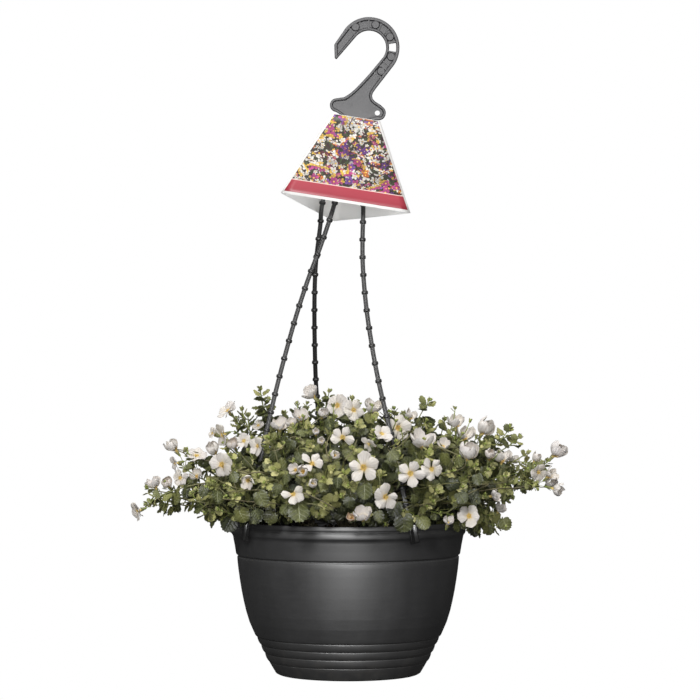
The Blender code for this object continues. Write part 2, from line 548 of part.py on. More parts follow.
for k, (flower, end, facing) in enumerate(stalks):
    crown = min(CROWNS, key=lambda c: (Vector((end.x, end.y)) - Vector((c.x, c.y)) * 2.2).length)
    others = [tree for name, tree in placed.items()]
    nodes = (0.30, 0.52, 0.72, 0.90) if (end - crown).length > 90 else (0.34, 0.62, 0.86)
    for attempt in range(400):
        flat = Vector((end.x - crown.x, end.y - crown.y, 0)).normalized()
        turn = rng.uniform(-1.1, 1.1) * min(1.0, 0.2 + attempt / 60)
        rise = rng.uniform(0.45, 1.25)
        heading = (Matrix.Rotation(turn, 3, "Z") @ flat * math.cos(rise) + Vector((0, 0, math.sin(rise)))).normalized()
        start = crown + Vector((heading.x * (CROWN_RADIUS + 2.0), heading.y * (CROWN_RADIUS + 2.0), 1.8 + heading.z * (9.2 + 0.6)))
        stop = end - facing * FIT_GAP
        sway = Vector((rng.uniform(-1, 1), rng.uniform(-1, 1), rng.uniform(-0.2, 1))) * min(26.0, 3.0 + attempt * 0.25)
        shoot = Shoot(start, heading, stop, facing, sway)
        swollen, count = shoot.stem(nodes, 0.3)
        if min(p.z for p in swollen[8:]) < POT_HEIGHT - 11.0:
            continue
        if clear_of_all(swollen, ring_faces(0, count) + [(0, 1, 2, 3), tuple(range(4 * count - 4, 4 * count))], others):
            break
    else:
        print("no clear way for the shoot to", flower)
    points, count = shoot.stem(nodes)
    stem_points = list(points)
    stem_faces = ring_faces(0, count)
    faces = {(ring, side): stem_faces[4 * ring + side] for ring in range(count - 1) for side in range(4)}
    blades = []
    leaves = 0
    for n, t in enumerate(nodes):
        ring = 1 + 2 * n
        for side in ((0, 2) if n % 2 else (1, 3)):
            p, tangent, u, v = shoot.frame(t)
            outward = {0: v, 1: -u, 2: -v, 3: u}[side]
            wide = {0: -u, 1: -v, 2: u, 3: v}[side]
            for attempt in range(26):
                scale = (1.0 if attempt < 12 else 0.78) * (1.0 - 0.35 * t + 0.12 * rng.random())
                lift = rng.uniform(0.15, 0.75)
                swing = rng.uniform(-0.35, 0.35)
                out = (outward * math.cos(lift) + tangent * math.sin(lift) + wide * swing).normalized()
                across_leaf = (wide - out * wide.dot(out)).normalized()
                thick = out.cross(across_leaf)
                if thick.dot(tangent) < 0:
                    thick = -thick
                root = p + outward * shoot.radius(t)
                droop = rng.uniform(0.0, 0.22)
                size = (LEAF_LENGTH * scale, LEAF_WIDTH * scale)
                swollen = leaf_rings(root, out, across_leaf, thick, *size, droop, FIT_GAP)
                flat_points = [q for r in swollen for q in r]
                solid = ring_faces(0, 3) + [(3, 2, 1, 0), (8, 9, 10, 11)]
                own = BVHTree.FromPolygons(stem_points, stem_faces)
                if min(q.z for q in flat_points) < POT_HEIGHT - 9 and math.hypot(p.x, p.y) < 140:
                    continue
                stalk = [root + wide * (a * 1.7) + tangent * (b * 1.4) for a, b in ((-1, -1), (1, -1), (1, 1), (-1, 1))]
                whole = ring_faces(0, 4) + [(3, 2, 1, 0), (12, 13, 14, 15)]
                if clear_of_all(stalk + flat_points, whole, others) and clear_of_all(flat_points, solid, [own, *blades]):
                    blades.append(BVHTree.FromPolygons(flat_points, solid))
                    rings = leaf_rings(root, out, across_leaf, thick, *size, droop)
                    base = faces.pop((ring, side))
                    previous = base
                    # The face's corners in the order of a section's: the first pair is on the lower ring of the node.
                    for r in rings:
                        first = len(points)
                        points += r
                        current = tuple(range(first, first + 4))
                        key = len(faces)
                        for i in range(4):
                            faces[("leaf", n, side, first, i)] = (previous[i], previous[(i + 1) % 4], current[(i + 1) % 4], current[i])
                        previous = current
                    faces[("tip", n, side, key)] = previous
                    leaves += 1
                    break
    all_faces = list(faces.values()) + [(3, 2, 1, 0), tuple(range(4 * count - 4, 4 * count))]
    name = f"shoot_{k + 1:02d}"
    obj = mesh_object(name, points, all_faces, GREEN)
    placed[name] = tree_of(obj)
    print(name, "leaves", leaves)
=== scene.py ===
"""The looks of a planted hanging basket: a ribbed plastic pot, three beaded strands, a flat hook and a card sleeve, with a trailing mound of white bacopa.

Lengths are in millimetres in the making of each piece, and its mesh is in metres.
"""

import math

import bmesh
import bpy
import numpy as np
from mathutils import Matrix, Vector
from mathutils.bvhtree import BVHTree
from mathutils.geometry import tessellate_polygon


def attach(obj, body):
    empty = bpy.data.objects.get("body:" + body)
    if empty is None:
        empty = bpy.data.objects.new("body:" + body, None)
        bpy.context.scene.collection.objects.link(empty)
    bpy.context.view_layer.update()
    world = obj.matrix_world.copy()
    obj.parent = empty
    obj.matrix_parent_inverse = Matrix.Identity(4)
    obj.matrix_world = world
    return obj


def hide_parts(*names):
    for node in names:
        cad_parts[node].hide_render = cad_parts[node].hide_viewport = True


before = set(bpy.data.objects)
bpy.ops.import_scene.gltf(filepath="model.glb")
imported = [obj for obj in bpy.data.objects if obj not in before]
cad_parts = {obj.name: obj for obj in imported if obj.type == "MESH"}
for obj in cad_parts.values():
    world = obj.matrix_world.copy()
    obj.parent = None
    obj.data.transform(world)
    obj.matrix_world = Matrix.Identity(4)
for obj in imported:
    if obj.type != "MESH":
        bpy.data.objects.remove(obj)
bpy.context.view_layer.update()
MM = 0.001
scene = bpy.context.scene

# ====================================================================== camera and light
CAM = np.array((1.98, -2943.0, 345.1))
FOCAL = 2755.0  # in pixels of the 700 x 700 picture


def at_pixel(px, py, y):
    """The point (mm) seen at this pixel, at this depth."""
    k = (y - CAM[1]) / FOCAL
    return np.array((CAM[0] + (px - 350.0) * k, y, CAM[2] - (py - 350.0) * k))


def to_pixel(p):
    k = FOCAL / (p[..., 1] - CAM[1])
    return 350.0 + (p[..., 0] - CAM[0]) * k, 350.0 - (p[..., 2] - CAM[2]) * k


camera_data = bpy.data.cameras.new("camera")
camera_data.sensor_width = 36.0
camera_data.lens = FOCAL * 36.0 / 700.0
camera_data.clip_start, camera_data.clip_end = 0.05, 60.0
camera = bpy.data.objects.new("camera", camera_data)
camera.location = CAM * MM
camera.rotation_euler = (math.pi / 2, 0, 0)
scene.collection.objects.link(camera)
scene.camera = camera
scene.view_settings.view_transform = "Standard"
scene.view_settings.look = "None"
scene.view_settings.exposure = 0.0


def area_light(name, place, target, size, power, colour=(1, 1, 1), size_y=None):
    data = bpy.data.lights.new(name, "AREA")
    data.shape = "RECTANGLE" if size_y else "SQUARE"
    data.size = size
    if size_y:
        data.size_y = size_y
    data.energy, data.color = power, colour
    obj = bpy.data.objects.new(name, data)
    obj.location = place
    obj.rotation_euler = (Vector(target) - Vector(place)).to_track_quat("-Z", "Y").to_euler()
    scene.collection.objects.link(obj)
    obj.visible_camera = False
    return obj


area_light("front", (0.02, -3.0, 0.5), (0, 0, 0.2), 0.4, 21.0).visible_glossy = False
# A small panel beside the camera that only glossy faces mirror.
area_light("sheen", (0.02, -3.0, 0.29), (0, 0, 0.2), 0.34, 57.0).visible_diffuse = False
area_light("key", (-0.45, -2.4, 1.45), (0, 0, 0.24), 0.45, 52.0)
area_light("overhead", (0.1, -0.5, 2.4), (0, 0, 0.2), 1.3, 34.0, (1.0, 0.99, 0.97))
for fill in (area_light("left_fill", (-2.3, -0.5, 0.9), (0, 0, 0.25), 1.2, 5.0),
             area_light("right_fill", (2.3, -0.3, 0.9), (0, 0, 0.25), 1.2, 5.0),
             area_light("rear_fill", (0.3, 2.6, 1.1), (0, 0, 0.25), 1.2, 12.0)):
    fill.visible_glossy = False

# Light that comes up into the open foot of the card sleeve.
bounce = area_light("bounce", (0.0, -0.10, 0.40), (0.007, 0.01, 0.60), 0.10, 0.17)
bounce.visible_glossy = False

world = bpy.data.worlds.new("studio")
scene.world = world
world.use_nodes = True
tree = world.node_tree
tree.nodes.clear()
out = tree.nodes.new("ShaderNodeOutputWorld")
seen = tree.nodes.new("ShaderNodeBackground")
seen.inputs["Color"].default_value = (1, 1, 1, 1)
seen.inputs["Strength"].default_value = 1.0
lit = tree.nodes.new("ShaderNodeBackground")
# The room is dim level with the object and below it, and pale above.
place = tree.nodes.new("ShaderNodeTexCoord")
split = tree.nodes.new("ShaderNodeSeparateXYZ")
tree.links.new(place.outputs["Generated"], split.inputs[0])
rise = tree.nodes.new("ShaderNodeMapRange")
for slot_index, value in enumerate((None, -0.05, 0.95, 0.028, 0.42)):
    if value is not None:
        rise.inputs[slot_index].default_value = value
tree.links.new(split.outputs[2], rise.inputs[0])
tree.links.new(rise.outputs[0], lit.inputs["Strength"])
# Diffuse light comes from a paler room than the one that glossy faces mirror.
soft = tree.nodes.new("ShaderNodeBackground")
wash = tree.nodes.new("ShaderNodeMapRange")
for slot_index, value in enumerate((None, -0.9, 0.9, 0.10, 0.24)):
    if value is not None:
        wash.inputs[slot_index].default_value = value
tree.links.new(split.outputs[2], wash.inputs[0])
tree.links.new(wash.outputs[0], soft.inputs["Strength"])
path = tree.nodes.new("ShaderNodeLightPath")
choose = tree.nodes.new("ShaderNodeMixShader")
tree.links.new(path.outputs["Is Diffuse Ray"], choose.inputs[0])
tree.links.new(lit.outputs[0], choose.inputs[1])
tree.links.new(soft.outputs[0], choose.inputs[2])
mix = tree.nodes.new("ShaderNodeMixShader")
tree.links.new(path.outputs["Is Camera Ray"], mix.inputs[0])
tree.links.new(choose.outputs[0], mix.inputs[1])
tree.links.new(seen.outputs[0], mix.inputs[2])
tree.links.new(mix.outputs[0], out.inputs["Surface"])


# ====================================================================== materials
class Nodes:
    """A short way to write a node tree."""

    def __init__(self, name, roughness=0.5, specular=0.5):
        self.material = bpy.data.materials.new(name)
        self.material.use_nodes = True
        self.tree = self.material.node_tree
        self.shader = self.tree.nodes["Principled BSDF"]
        self.shader.inputs["Roughness"].default_value = roughness
        self.shader.inputs["Specular IOR Level"].default_value = specular

    def node(self, kind, **inputs):
        node = self.tree.nodes.new("ShaderNode" + kind)
        for key, value in inputs.items():
            if key.startswith("set_"):
                setattr(node, key[4:], value)
                continue
            socket = node.inputs[int(key[1:])] if key[0] == "i" and key[1:].isdigit() else node.inputs[key.replace("_", " ")]
            self.put(socket, value)
        return node

    def put(self, socket, value):
        if isinstance(value, bpy.types.NodeSocket):
            self.tree.links.new(value, socket)
        elif isinstance(value, bpy.types.Node):
            self.tree.links.new(value.outputs[0], socket)
        elif socket.type == "RGBA" and len(value) == 3:
            socket.default_value = (*value, 1.0)
        else:
            socket.default_value = value

    def maths(self, operation, a, b=None, c=None, clamp=False):
        node = self.tree.nodes.new("ShaderNodeMath")
        node.operation, node.use_clamp = operation, clamp
        for k, value in enumerate((a, b, c)):
            if value is not None:
                self.put(node.inputs[k], value)
        return node.outputs[0]

    def vector(self, operation, a, b=None):
        node = self.tree.nodes.new("ShaderNodeVectorMath")
        node.operation = operation
        self.put(node.inputs[0], a)
        if b is not None:
            self.put(node.inputs[1], b)
        return node.outputs["Value"] if operation in ("DOT_PRODUCT", "LENGTH", "DISTANCE") else node.outputs["Vector"]

    def blend(self, factor, a, b, mode="MIX"):
        node = self.tree.nodes.new("ShaderNodeMix")
        node.data_type, node.blend_type = "RGBA", mode
        self.put(node.inputs[0], factor)
        self.put(node.inputs[6], a)
        self.put(node.inputs[7], b)
        return node.outputs[2]

    def ramp(self, factor, stops, constant=False):
        node = self.tree.nodes.new("ShaderNodeValToRGB")
        elements = node.color_ramp.elements
        if constant:
            node.color_ramp.interpolation = "CONSTANT"
        while len(elements) < len(stops):
            elements.new(1.0)
        for element, (at, colour) in zip(elements, stops):
            element.position = at
            element.color = (*colour, 1.0) if len(colour) == 3 else colour
        self.put(node.inputs[0], factor)
        return node.outputs[0]

    def span(self, value, low, high, to_low=0.0, to_high=1.0):
        node = self.tree.nodes.new("ShaderNodeMapRange")
        for k, x in enumerate((value, low, high, to_low, to_high)):
            self.put(node.inputs[k], x)
        return node.outputs[0]

    def noise(self, vector, scale, detail=3.0, roughness=0.5, output=0):
        return self.node("TexNoise", Vector=vector, Scale=scale, Detail=detail, Roughness=roughness).outputs[output]

    def place(self, scale=(1, 1, 1)):
        where = self.node("TexCoord").outputs["Object"]
        if tuple(scale) == (1, 1, 1):
            return where
        return self.node("Mapping", Vector=where, Scale=scale).outputs[0]

    def attribute(self, name):
        node = self.node("Attribute", set_attribute_name=name)
        split = self.node("SeparateColor", Color=node.outputs["Color"])
        return split.outputs[0], split.outputs[1], split.outputs[2]

    def uv(self, name):
        node = self.node("UVMap", set_uv_map=name)
        split = self.node("SeparateXYZ", Vector=node.outputs[0])
        return node.outputs[0], split.outputs[0], split.outputs[1]

    def bump(self, height, strength, distance, chain=None):
        node = self.node("Bump", Strength=strength, Distance=distance, Height=height)
        if chain is not None:
            self.tree.links.new(chain, node.inputs["Normal"])
        return node.outputs[0]

    def wear(self, colour=None, roughness=None, normal=None):
        for name, value in (("Base Color", colour), ("Roughness", roughness), ("Normal", normal)):
            if value is not None:
                self.put(self.shader.inputs[name], value)
        return self.material


def plastic(name, colour, roughness, grain, mottling, dust=0.0, specular=0.45, coat=0.0):
    """Moulded plastic: a fine eroded grain, slow flow marks, faint rubbed streaks and some dust low down."""
    n = Nodes(name, roughness, specular)
    if coat:
        n.shader.inputs["Coat Weight"].default_value = coat
        n.shader.inputs["Coat Roughness"].default_value = roughness - 0.03
    where = n.place()
    flow = n.noise(n.place((1.0, 1.0, 0.35)), 38.0, 4.0, 0.6)
    fine = n.noise(where, 2600.0, 2.0)
    streak = n.noise(n.place((1.0, 1.0, 14.0)), 60.0, 3.0, 0.6)
    speck = n.node("TexVoronoi", Vector=where, Scale=420.0).outputs["Distance"]
    base = n.blend(n.span(flow, 0.3, 0.7), tuple(c * (1 - mottling) for c in colour), tuple(min(1.0, c * (1 + mottling)) for c in colour))
    pale = tuple(min(1.0, c + 0.016) for c in colour)
    base = n.blend(n.maths("MULTIPLY", n.span(streak, 0.60, 0.80), 0.35), base, pale)
    base = n.blend(n.maths("MULTIPLY", n.span(speck, 0.10, 0.02), 0.10), base, (0.20, 0.19, 0.17))
    if dust:
        height = n.node("SeparateXYZ", Vector=where).outputs[2]
        low = n.maths("MULTIPLY", n.span(height, 0.05, 0.0), n.span(n.noise(where, 70.0, 5.0, 0.7), 0.42, 0.75))
        base = n.blend(n.maths("MULTIPLY", low, dust), base, (0.13, 0.115, 0.095))
    rough = n.maths("ADD", n.span(flow, 0.25, 0.75, roughness - 0.05, roughness + 0.05), n.span(streak, 0.4, 0.8, -0.03, 0.05))
    normal = n.bump(fine, 0.10, 0.0004)
    normal = n.bump(flow, 0.06, 0.002, normal)
    return n.wear(base, rough, normal)


def leaf_material():
    """Green blade: midrib and side veins from its own coordinates, quilting, a paler back, and a tint for each leaf.
    The tint's red is chance, green is youth and blue is depth in the mound, which darkens the blade as painted shade;
    its alpha, 0 at the margin, sets a painted shade along the margin.
    """
    n = Nodes("leaf", 0.5, 0.42)
    chance, youth, deep = n.attribute("tint")
    inner = n.node("Attribute", set_attribute_name="tint").outputs["Alpha"]  # 0 at the margin to 1 on the midrib
    _, u, v = n.uv("part")
    back = n.maths("GREATER_THAN", u, 0.5)
    across = n.maths("ABSOLUTE", n.maths("SUBTRACT", n.maths("SUBTRACT", u, n.maths("MULTIPLY", back, 0.5)), 0.25))  # 0 on the midrib to 0.24 at the margin
    old = n.blend(chance, (0.030, 0.040, 0.018), (0.088, 0.100, 0.036))
    mid = n.blend(chance, (0.080, 0.096, 0.026), (0.225, 0.228, 0.066))
    new = n.blend(chance, (0.350, 0.370, 0.090), (0.760, 0.710, 0.320))
    body = n.blend(n.span(youth, 0.0, 0.5), old, mid)
    body = n.blend(n.span(youth, 0.5, 1.0), body, new)
    where = n.place()
    blotch = n.noise(where, 330.0, 4.0, 0.65)
    body = n.blend(n.span(blotch, 0.40, 0.68, 0.0, 0.42), body, n.blend(0.5, body, (0.21, 0.22, 0.07)))
    body = n.blend(n.span(blotch, 0.50, 0.30, 0.0, 0.42), body, n.blend(0.65, body, (0.020, 0.026, 0.010)))
    # Side veins run forward from the midrib.
    along = n.maths("SUBTRACT", v, n.maths("MULTIPLY", across, 1.35))
    cycle = n.maths("FRACT", n.maths("MULTIPLY", along, 4.4))
    side = n.span(n.maths("ABSOLUTE", n.maths("SUBTRACT", cycle, 0.5)), 0.02, 0.17, 1.0, 0.0)
    rib = n.span(across, 0.004, 0.020, 1.0, 0.0)
    veins = n.maths("MAXIMUM", rib, n.maths("MULTIPLY", side, 0.80), clamp=True)
    body = n.blend(n.maths("MULTIPLY", n.maths("SUBTRACT", 1.0, veins), 0.20), body, (0.024, 0.032, 0.012))
    body = n.blend(n.maths("MULTIPLY", veins, 0.50), body, n.blend(0.6, body, (0.34, 0.36, 0.16)))
    # Painted shade: the blade darkens towards its margin, most on old leaves, standing in for the shadow in the gaps
    # between overlapping leaves.
    painted_margin_shade = n.maths("MULTIPLY", n.span(inner, 0.0, 0.5, 0.52, 0.0), n.span(youth, 0.3, 0.9, 1.0, 0.4))
    body = n.blend(painted_margin_shade, body, (0.022, 0.028, 0.011))
    body = n.blend(n.maths("MULTIPLY", back, 0.42), body, (0.20, 0.225, 0.125))
    # Painted shade: blades deep inside the mound, by the tint's blue, are darkened almost to black.
    body = n.blend(n.maths("MULTIPLY", deep, 0.87), body, (0.012, 0.015, 0.007))
    rough = n.span(blotch, 0.3, 0.7, 0.33, 0.50)
    rough = n.maths("ADD", rough, n.maths("MULTIPLY", back, 0.16))
    relief = n.maths("SUBTRACT", n.maths("MULTIPLY", n.noise(where, 440.0, 3.0), 0.9), n.maths("MULTIPLY", veins, 0.7))
    return n.wear(body, rough, n.bump(relief, 0.60, 0.0007))


def petal_material():
    """White lobe: a yellow stain at its foot, faint pleats that run out from the throat, a cool blush."""
    n = Nodes("petal", 0.62, 0.25)
    # Thin lobes let light through.
    n.shader.inputs["Subsurface Weight"].default_value = 0.38
    n.shader.inputs["Subsurface Radius"].default_value = (1.0, 0.96, 0.92)
    n.shader.inputs["Subsurface Scale"].default_value = 0.0020
    chance, blush, ripe = n.attribute("tint")
    _, u, v = n.uv("part")
    back = n.maths("GREATER_THAN", u, 0.5)
    across = n.maths("SUBTRACT", n.maths("SUBTRACT", u, n.maths("MULTIPLY", back, 0.5)), 0.25)
    body = n.blend(blush, (0.645, 0.598, 0.528), (0.61, 0.560, 0.540))
    warm = n.blend(chance, (0.665, 0.612, 0.515), (0.62, 0.585, 0.575))
    body = n.blend(0.35, body, warm)
    fan = n.maths("MULTIPLY", across, n.span(v, 0.0, 1.0, 95.0, 42.0))
    pleat = n.maths("SINE", n.maths("ADD", fan, n.maths("MULTIPLY", n.noise(n.place(), 240.0, 2.0), 3.0)))
    body = n.blend(n.maths("MULTIPLY", n.span(pleat, 0.35, 1.0), n.span(v, 1.0, 0.15, 0.06, 0.26)), body, (0.47, 0.42, 0.43))
    body = n.blend(n.maths("MULTIPLY", n.span(v, 0.36, 0.04), 0.48), body, (0.70, 0.55, 0.30))
    body = n.blend(n.span(v, 0.13, 0.03), body, (0.68, 0.43, 0.08))
    body = n.blend(n.maths("MULTIPLY", ripe, 0.75), body, (0.62, 0.34, 0.13))
    body = n.blend(n.maths("MULTIPLY", back, 0.35), body, (0.70, 0.675, 0.68))
    crumple = n.noise(n.place(), 330.0, 3.0, 0.6)
    relief = n.maths("ADD", n.maths("MULTIPLY", pleat, 0.35), crumple)
    return n.wear(body, n.span(crumple, 0.3, 0.7, 0.50, 0.66), n.bump(relief, 0.50, 0.0006))


def throat_material():
    """Yellow throat and orange tube, with painted shade darkening the throat deep inside."""
    n = Nodes("throat", 0.5, 0.35)
    chance, _, ripe = n.attribute("tint")
    _, u, v = n.uv("part")
    # The ramp runs from the bottom of the throat (0) to the mouth (1); its dark brown low end is painted shade, the
    # rest the tube's own orange and yellow.
    body = n.ramp(v, [(0.0, (0.25, 0.09, 0.015)), (0.35, (0.50, 0.24, 0.04)), (0.62, (0.60, 0.42, 0.12)), (1.0, (0.66, 0.50, 0.20))])
    body = n.blend(n.maths("MULTIPLY", chance, 0.35), body, (0.74, 0.66, 0.22))
    body = n.blend(n.maths("MULTIPLY", ripe, 0.6), body, (0.45, 0.20, 0.05))
    grain = n.noise(n.place(), 900.0, 3.0)
    body = n.blend(n.span(grain, 0.45, 0.75, 0.0, 0.3), body, (0.60, 0.30, 0.04))
    return n.wear(body, n.span(grain, 0.3, 0.7, 0.42, 0.58), n.bump(grain, 0.3, 0.0003))


def stem_material():
    """Stem, calyx and flower stalk: brown and ridged where old, fresh green where young, with painted shade deep in the
    mound.
    """
    n = Nodes("stem", 0.52, 0.35)
    chance, youth, deep = n.attribute("tint")
    where = n.place()
    streak = n.noise(n.place((1, 1, 0.3)), 420.0, 4.0, 0.6)
    old = n.blend(chance, (0.110, 0.088, 0.054), (0.190, 0.160, 0.100))
    mid = n.blend(chance, (0.130, 0.150, 0.045), (0.190, 0.190, 0.075))
    new = n.blend(chance, (0.220, 0.290, 0.055), (0.300, 0.360, 0.085))
    body = n.blend(n.span(youth, 0.0, 0.45), old, mid)
    body = n.blend(n.span(youth, 0.45, 1.0), body, new)
    body = n.blend(n.span(streak, 0.40, 0.70, 0.0, 0.45), body, n.blend(0.5, body, (0.07, 0.05, 0.02)))
    # Painted shade: parts deep inside the mound, by the tint's blue, are darkened.
    body = n.blend(n.maths("MULTIPLY", deep, 0.55), body, (0.030, 0.026, 0.012))
    return n.wear(body, n.span(streak, 0.3, 0.7, 0.44, 0.62), n.bump(n.maths("ADD", streak, n.noise(where, 1200.0, 2.0)), 0.35, 0.0004))


def compost_material():
    """Moist peat: dark crumbs, fibres and a few pale grains."""
    n = Nodes("compost", 0.92, 0.2)
    where = n.place()
    crumbs = n.node("TexVoronoi", Vector=n.vector("ADD", where, n.node("VectorMath", set_operation="SCALE", i0=n.noise(where, 120.0, 3.0, 0.6, 1), Scale=0.004).outputs[0]), Scale=210.0)
    grain = n.noise(where, 420.0, 5.0, 0.7)
    body = n.ramp(n.maths("FRACT", n.maths("MULTIPLY", n.node("SeparateColor", Color=crumbs.outputs["Color"]).outputs[0], 3.0)),
                  [(0.0, (0.012, 0.008, 0.005)), (0.45, (0.032, 0.020, 0.012)), (0.80, (0.058, 0.036, 0.020)), (1.0, (0.105, 0.070, 0.040))])
    body = n.blend(n.span(grain, 0.35, 0.72, 0.0, 0.6), body, (0.020, 0.013, 0.009))
    height = n.maths("ADD", n.span(crumbs.outputs["Distance"], 0.0, 0.6, 1.0, 0.0), grain)
    return n.wear(body, n.span(grain, 0.3, 0.7, 0.8, 0.98), n.bump(height, 0.7, 0.0012))


def grain_material():
    """Perlite: white volcanic crumbs with pits."""
    n = Nodes("perlite", 0.85, 0.3)
    where = n.place()
    pits = n.node("TexVoronoi", Vector=where, Scale=1500.0).outputs["Distance"]
    dirt = n.noise(where, 300.0, 4.0, 0.6)
    body = n.blend(n.span(dirt, 0.40, 0.75, 0.0, 0.7), (0.70, 0.68, 0.63), (0.30, 0.24, 0.17))
    return n.wear(body, n.span(dirt, 0.3, 0.7, 0.75, 0.95), n.bump(pits, 0.6, 0.0004))


def card_plain():
    """The sleeve's inside: bare white card with a faint fibre."""
    n = Nodes("card_plain", 0.75, 0.3)
    fibre = n.noise(n.place((1, 1, 3)), 520.0, 4.0, 0.65)
    slow = n.noise(n.place(), 24.0, 2.0)
    n.shader.inputs["Subsurface Weight"].default_value = 0.7
    n.shader.inputs["Subsurface Radius"].default_value = (1.0, 0.97, 0.93)
    n.shader.inputs["Subsurface Scale"].default_value = 0.004
    body = n.blend(n.span(fibre, 0.3, 0.75), (0.86, 0.845, 0.82), (0.90, 0.885, 0.86))
    body = n.blend(n.span(slow, 0.4, 0.7, 0.0, 0.25), body, (0.90, 0.88, 0.84))
    return n.wear(body, n.span(fibre, 0.3, 0.7, 0.68, 0.85), n.bump(fibre, 0.15, 0.0002))


def card_printed():
    """The sleeve's outside: a bed of simple made-up blossoms over a plain crimson band with a white border. The map 'part' holds millimetres over 100, from the panel's foot and its middle."""
    n = Nodes("card_printed", 0.38, 0.45)
    uv, u, v = n.uv("part")
    size = 100.0

    def blossoms(scale, lobes, petal_reach, seed, clumps):
        spot = n.node("TexVoronoi", Vector=n.vector("ADD", uv, (seed, seed * 0.7, 0.0)), Scale=scale, Randomness=0.82, set_voronoi_dimensions="2D")
        offset = n.vector("SUBTRACT", n.vector("ADD", uv, (seed, seed * 0.7, 0.0)), spot.outputs["Position"])
        part = n.node("SeparateXYZ", Vector=offset)
        x, y = part.outputs[0], part.outputs[1]
        reach = n.maths("MULTIPLY", n.vector("LENGTH", offset), scale)
        pick = n.node("SeparateColor", Color=spot.outputs["Color"])
        turn = n.maths("MULTIPLY", pick.outputs[1], 6.28)
        angle = n.maths("ADD", n.maths("ARCTAN2", y, x), turn)
        wave = n.maths("COSINE", n.maths("MULTIPLY", angle, float(lobes)))
        limit = n.maths("MULTIPLY", n.maths("ADD", n.maths("MULTIPLY", n.maths("POWER", n.maths("ABSOLUTE", n.maths("MULTIPLY_ADD", wave, 0.5, 0.5)), 0.55), 0.45), 0.55), n.maths("MULTIPLY_ADD", pick.outputs[2], 0.10, petal_reach))
        inside = n.span(n.maths("SUBTRACT", limit, reach), -0.01, 0.03)
        bed = n.noise(n.vector("ADD", uv, (clumps, -clumps, 0.0)), 3.2, 1.0)
        choose = n.maths("ADD", n.span(bed, 0.35, 0.65, 0.0, 0.84), n.maths("MULTIPLY", pick.outputs[0], 0.12))
        hue = n.ramp(choose, [(0.0, (0.11, 0.025, 0.19)), (0.13, (0.50, 0.13, 0.025)), (0.24, (0.64, 0.62, 0.58)), (0.40, (0.10, 0.010, 0.024)),
                              (0.47, (0.66, 0.63, 0.585)), (0.64, (0.66, 0.42, 0.06)), (0.78, (0.40, 0.05, 0.20)), (0.90, (0.20, 0.07, 0.34))], True)
        shade = n.span(reach, 0.0, petal_reach, 0.62, 1.10)
        crease = n.span(wave, -1.0, 0.2, 0.72, 1.0)
        hue = n.node("VectorMath", set_operation="SCALE", i0=hue, Scale=n.maths("MULTIPLY", shade, crease)).outputs[0]
        eye = n.span(reach, 0.10, 0.07)
        hue = n.blend(eye, hue, (0.78, 0.50, 0.06))
        return inside, hue

    leaves = n.noise(n.node("Mapping", Vector=uv, Scale=(1.0, 0.6, 1.0), Rotation=(0, 0, 0.6)).outputs[0], 34.0, 4.0, 0.65)
    picture = n.ramp(leaves, [(0.0, (0.004, 0.004, 0.004)), (0.42, (0.028, 0.006, 0.010)), (0.54, (0.026, 0.034, 0.014)), (0.70, (0.085, 0.110, 0.035)), (1.0, (0.22, 0.24, 0.12))])
    for scale, lobes, petal_reach, seed, clumps in ((15.5, 6, 0.36, 3.1, 1.9), (12.0, 5, 0.40, 9.7, 4.4), (9.0, 5, 0.42, 5.3, 7.3)):
        inside, hue = blossoms(scale, lobes, petal_reach, seed, clumps)
        # Each size of blossom grows in clumps, with dark leaves between.
        inside = n.maths("MULTIPLY", inside, n.span(n.noise(n.vector("ADD", uv, (seed * 3.1, clumps, 0.0)), 6.5, 2.0), 0.44, 0.47))
        picture = n.blend(inside, picture, hue)
    shade = n.span(n.noise(n.vector("ADD", uv, (2.7, 8.8, 0.0)), 5.0, 3.0), 0.32, 0.62, 0.42, 1.05)
    picture = n.node("VectorMath", set_operation="SCALE", i0=picture, Scale=shade).outputs[0]
    # Panel layout, in hundredths of a metre from its foot: border, band, picture.
    band = n.maths("MULTIPLY", n.span(v, 3.0 / size, 3.15 / size), n.span(v, 17.6 / size, 17.45 / size))
    band_colour = n.blend(n.span(v, 3.2 / size, 17.2 / size), (0.265, 0.027, 0.041), (0.330, 0.038, 0.057))
    half = n.maths("MULTIPLY_ADD", v, -0.4395, 0.692 - 0.018)  # half the panel's printed width at this height
    within = n.span(n.maths("SUBTRACT", half, n.maths("ABSOLUTE", u)), 0.0, 0.002)
    white = (0.70, 0.69, 0.675)
    rule = n.maths("MULTIPLY", n.span(v, 17.45 / size, 17.6 / size), n.span(v, 18.4 / size, 18.3 / size))
    body = n.blend(n.span(v, 18.3 / size, 18.4 / size), white, picture)
    body = n.blend(band, body, band_colour)
    body = n.blend(rule, body, (0.66, 0.50, 0.46))
    body = n.blend(within, white, body)
    body = n.blend(n.span(v, 1.002, 1.004), body, white)
    fibre = n.noise(n.place(), 700.0, 3.0, 0.6)
    rough = n.span(fibre, 0.3, 0.7, 0.30, 0.42)
    return n.wear(body, rough, n.bump(fibre, 0.08, 0.0002))


def floor_material():
    n = Nodes("floor", 0.85, 0.2)
    slow = n.noise(n.place(), 1.5, 3.0)
    return n.wear(n.blend(slow, (0.80, 0.80, 0.79), (0.84, 0.84, 0.83)), n.span(slow, 0, 1, 0.8, 0.9))


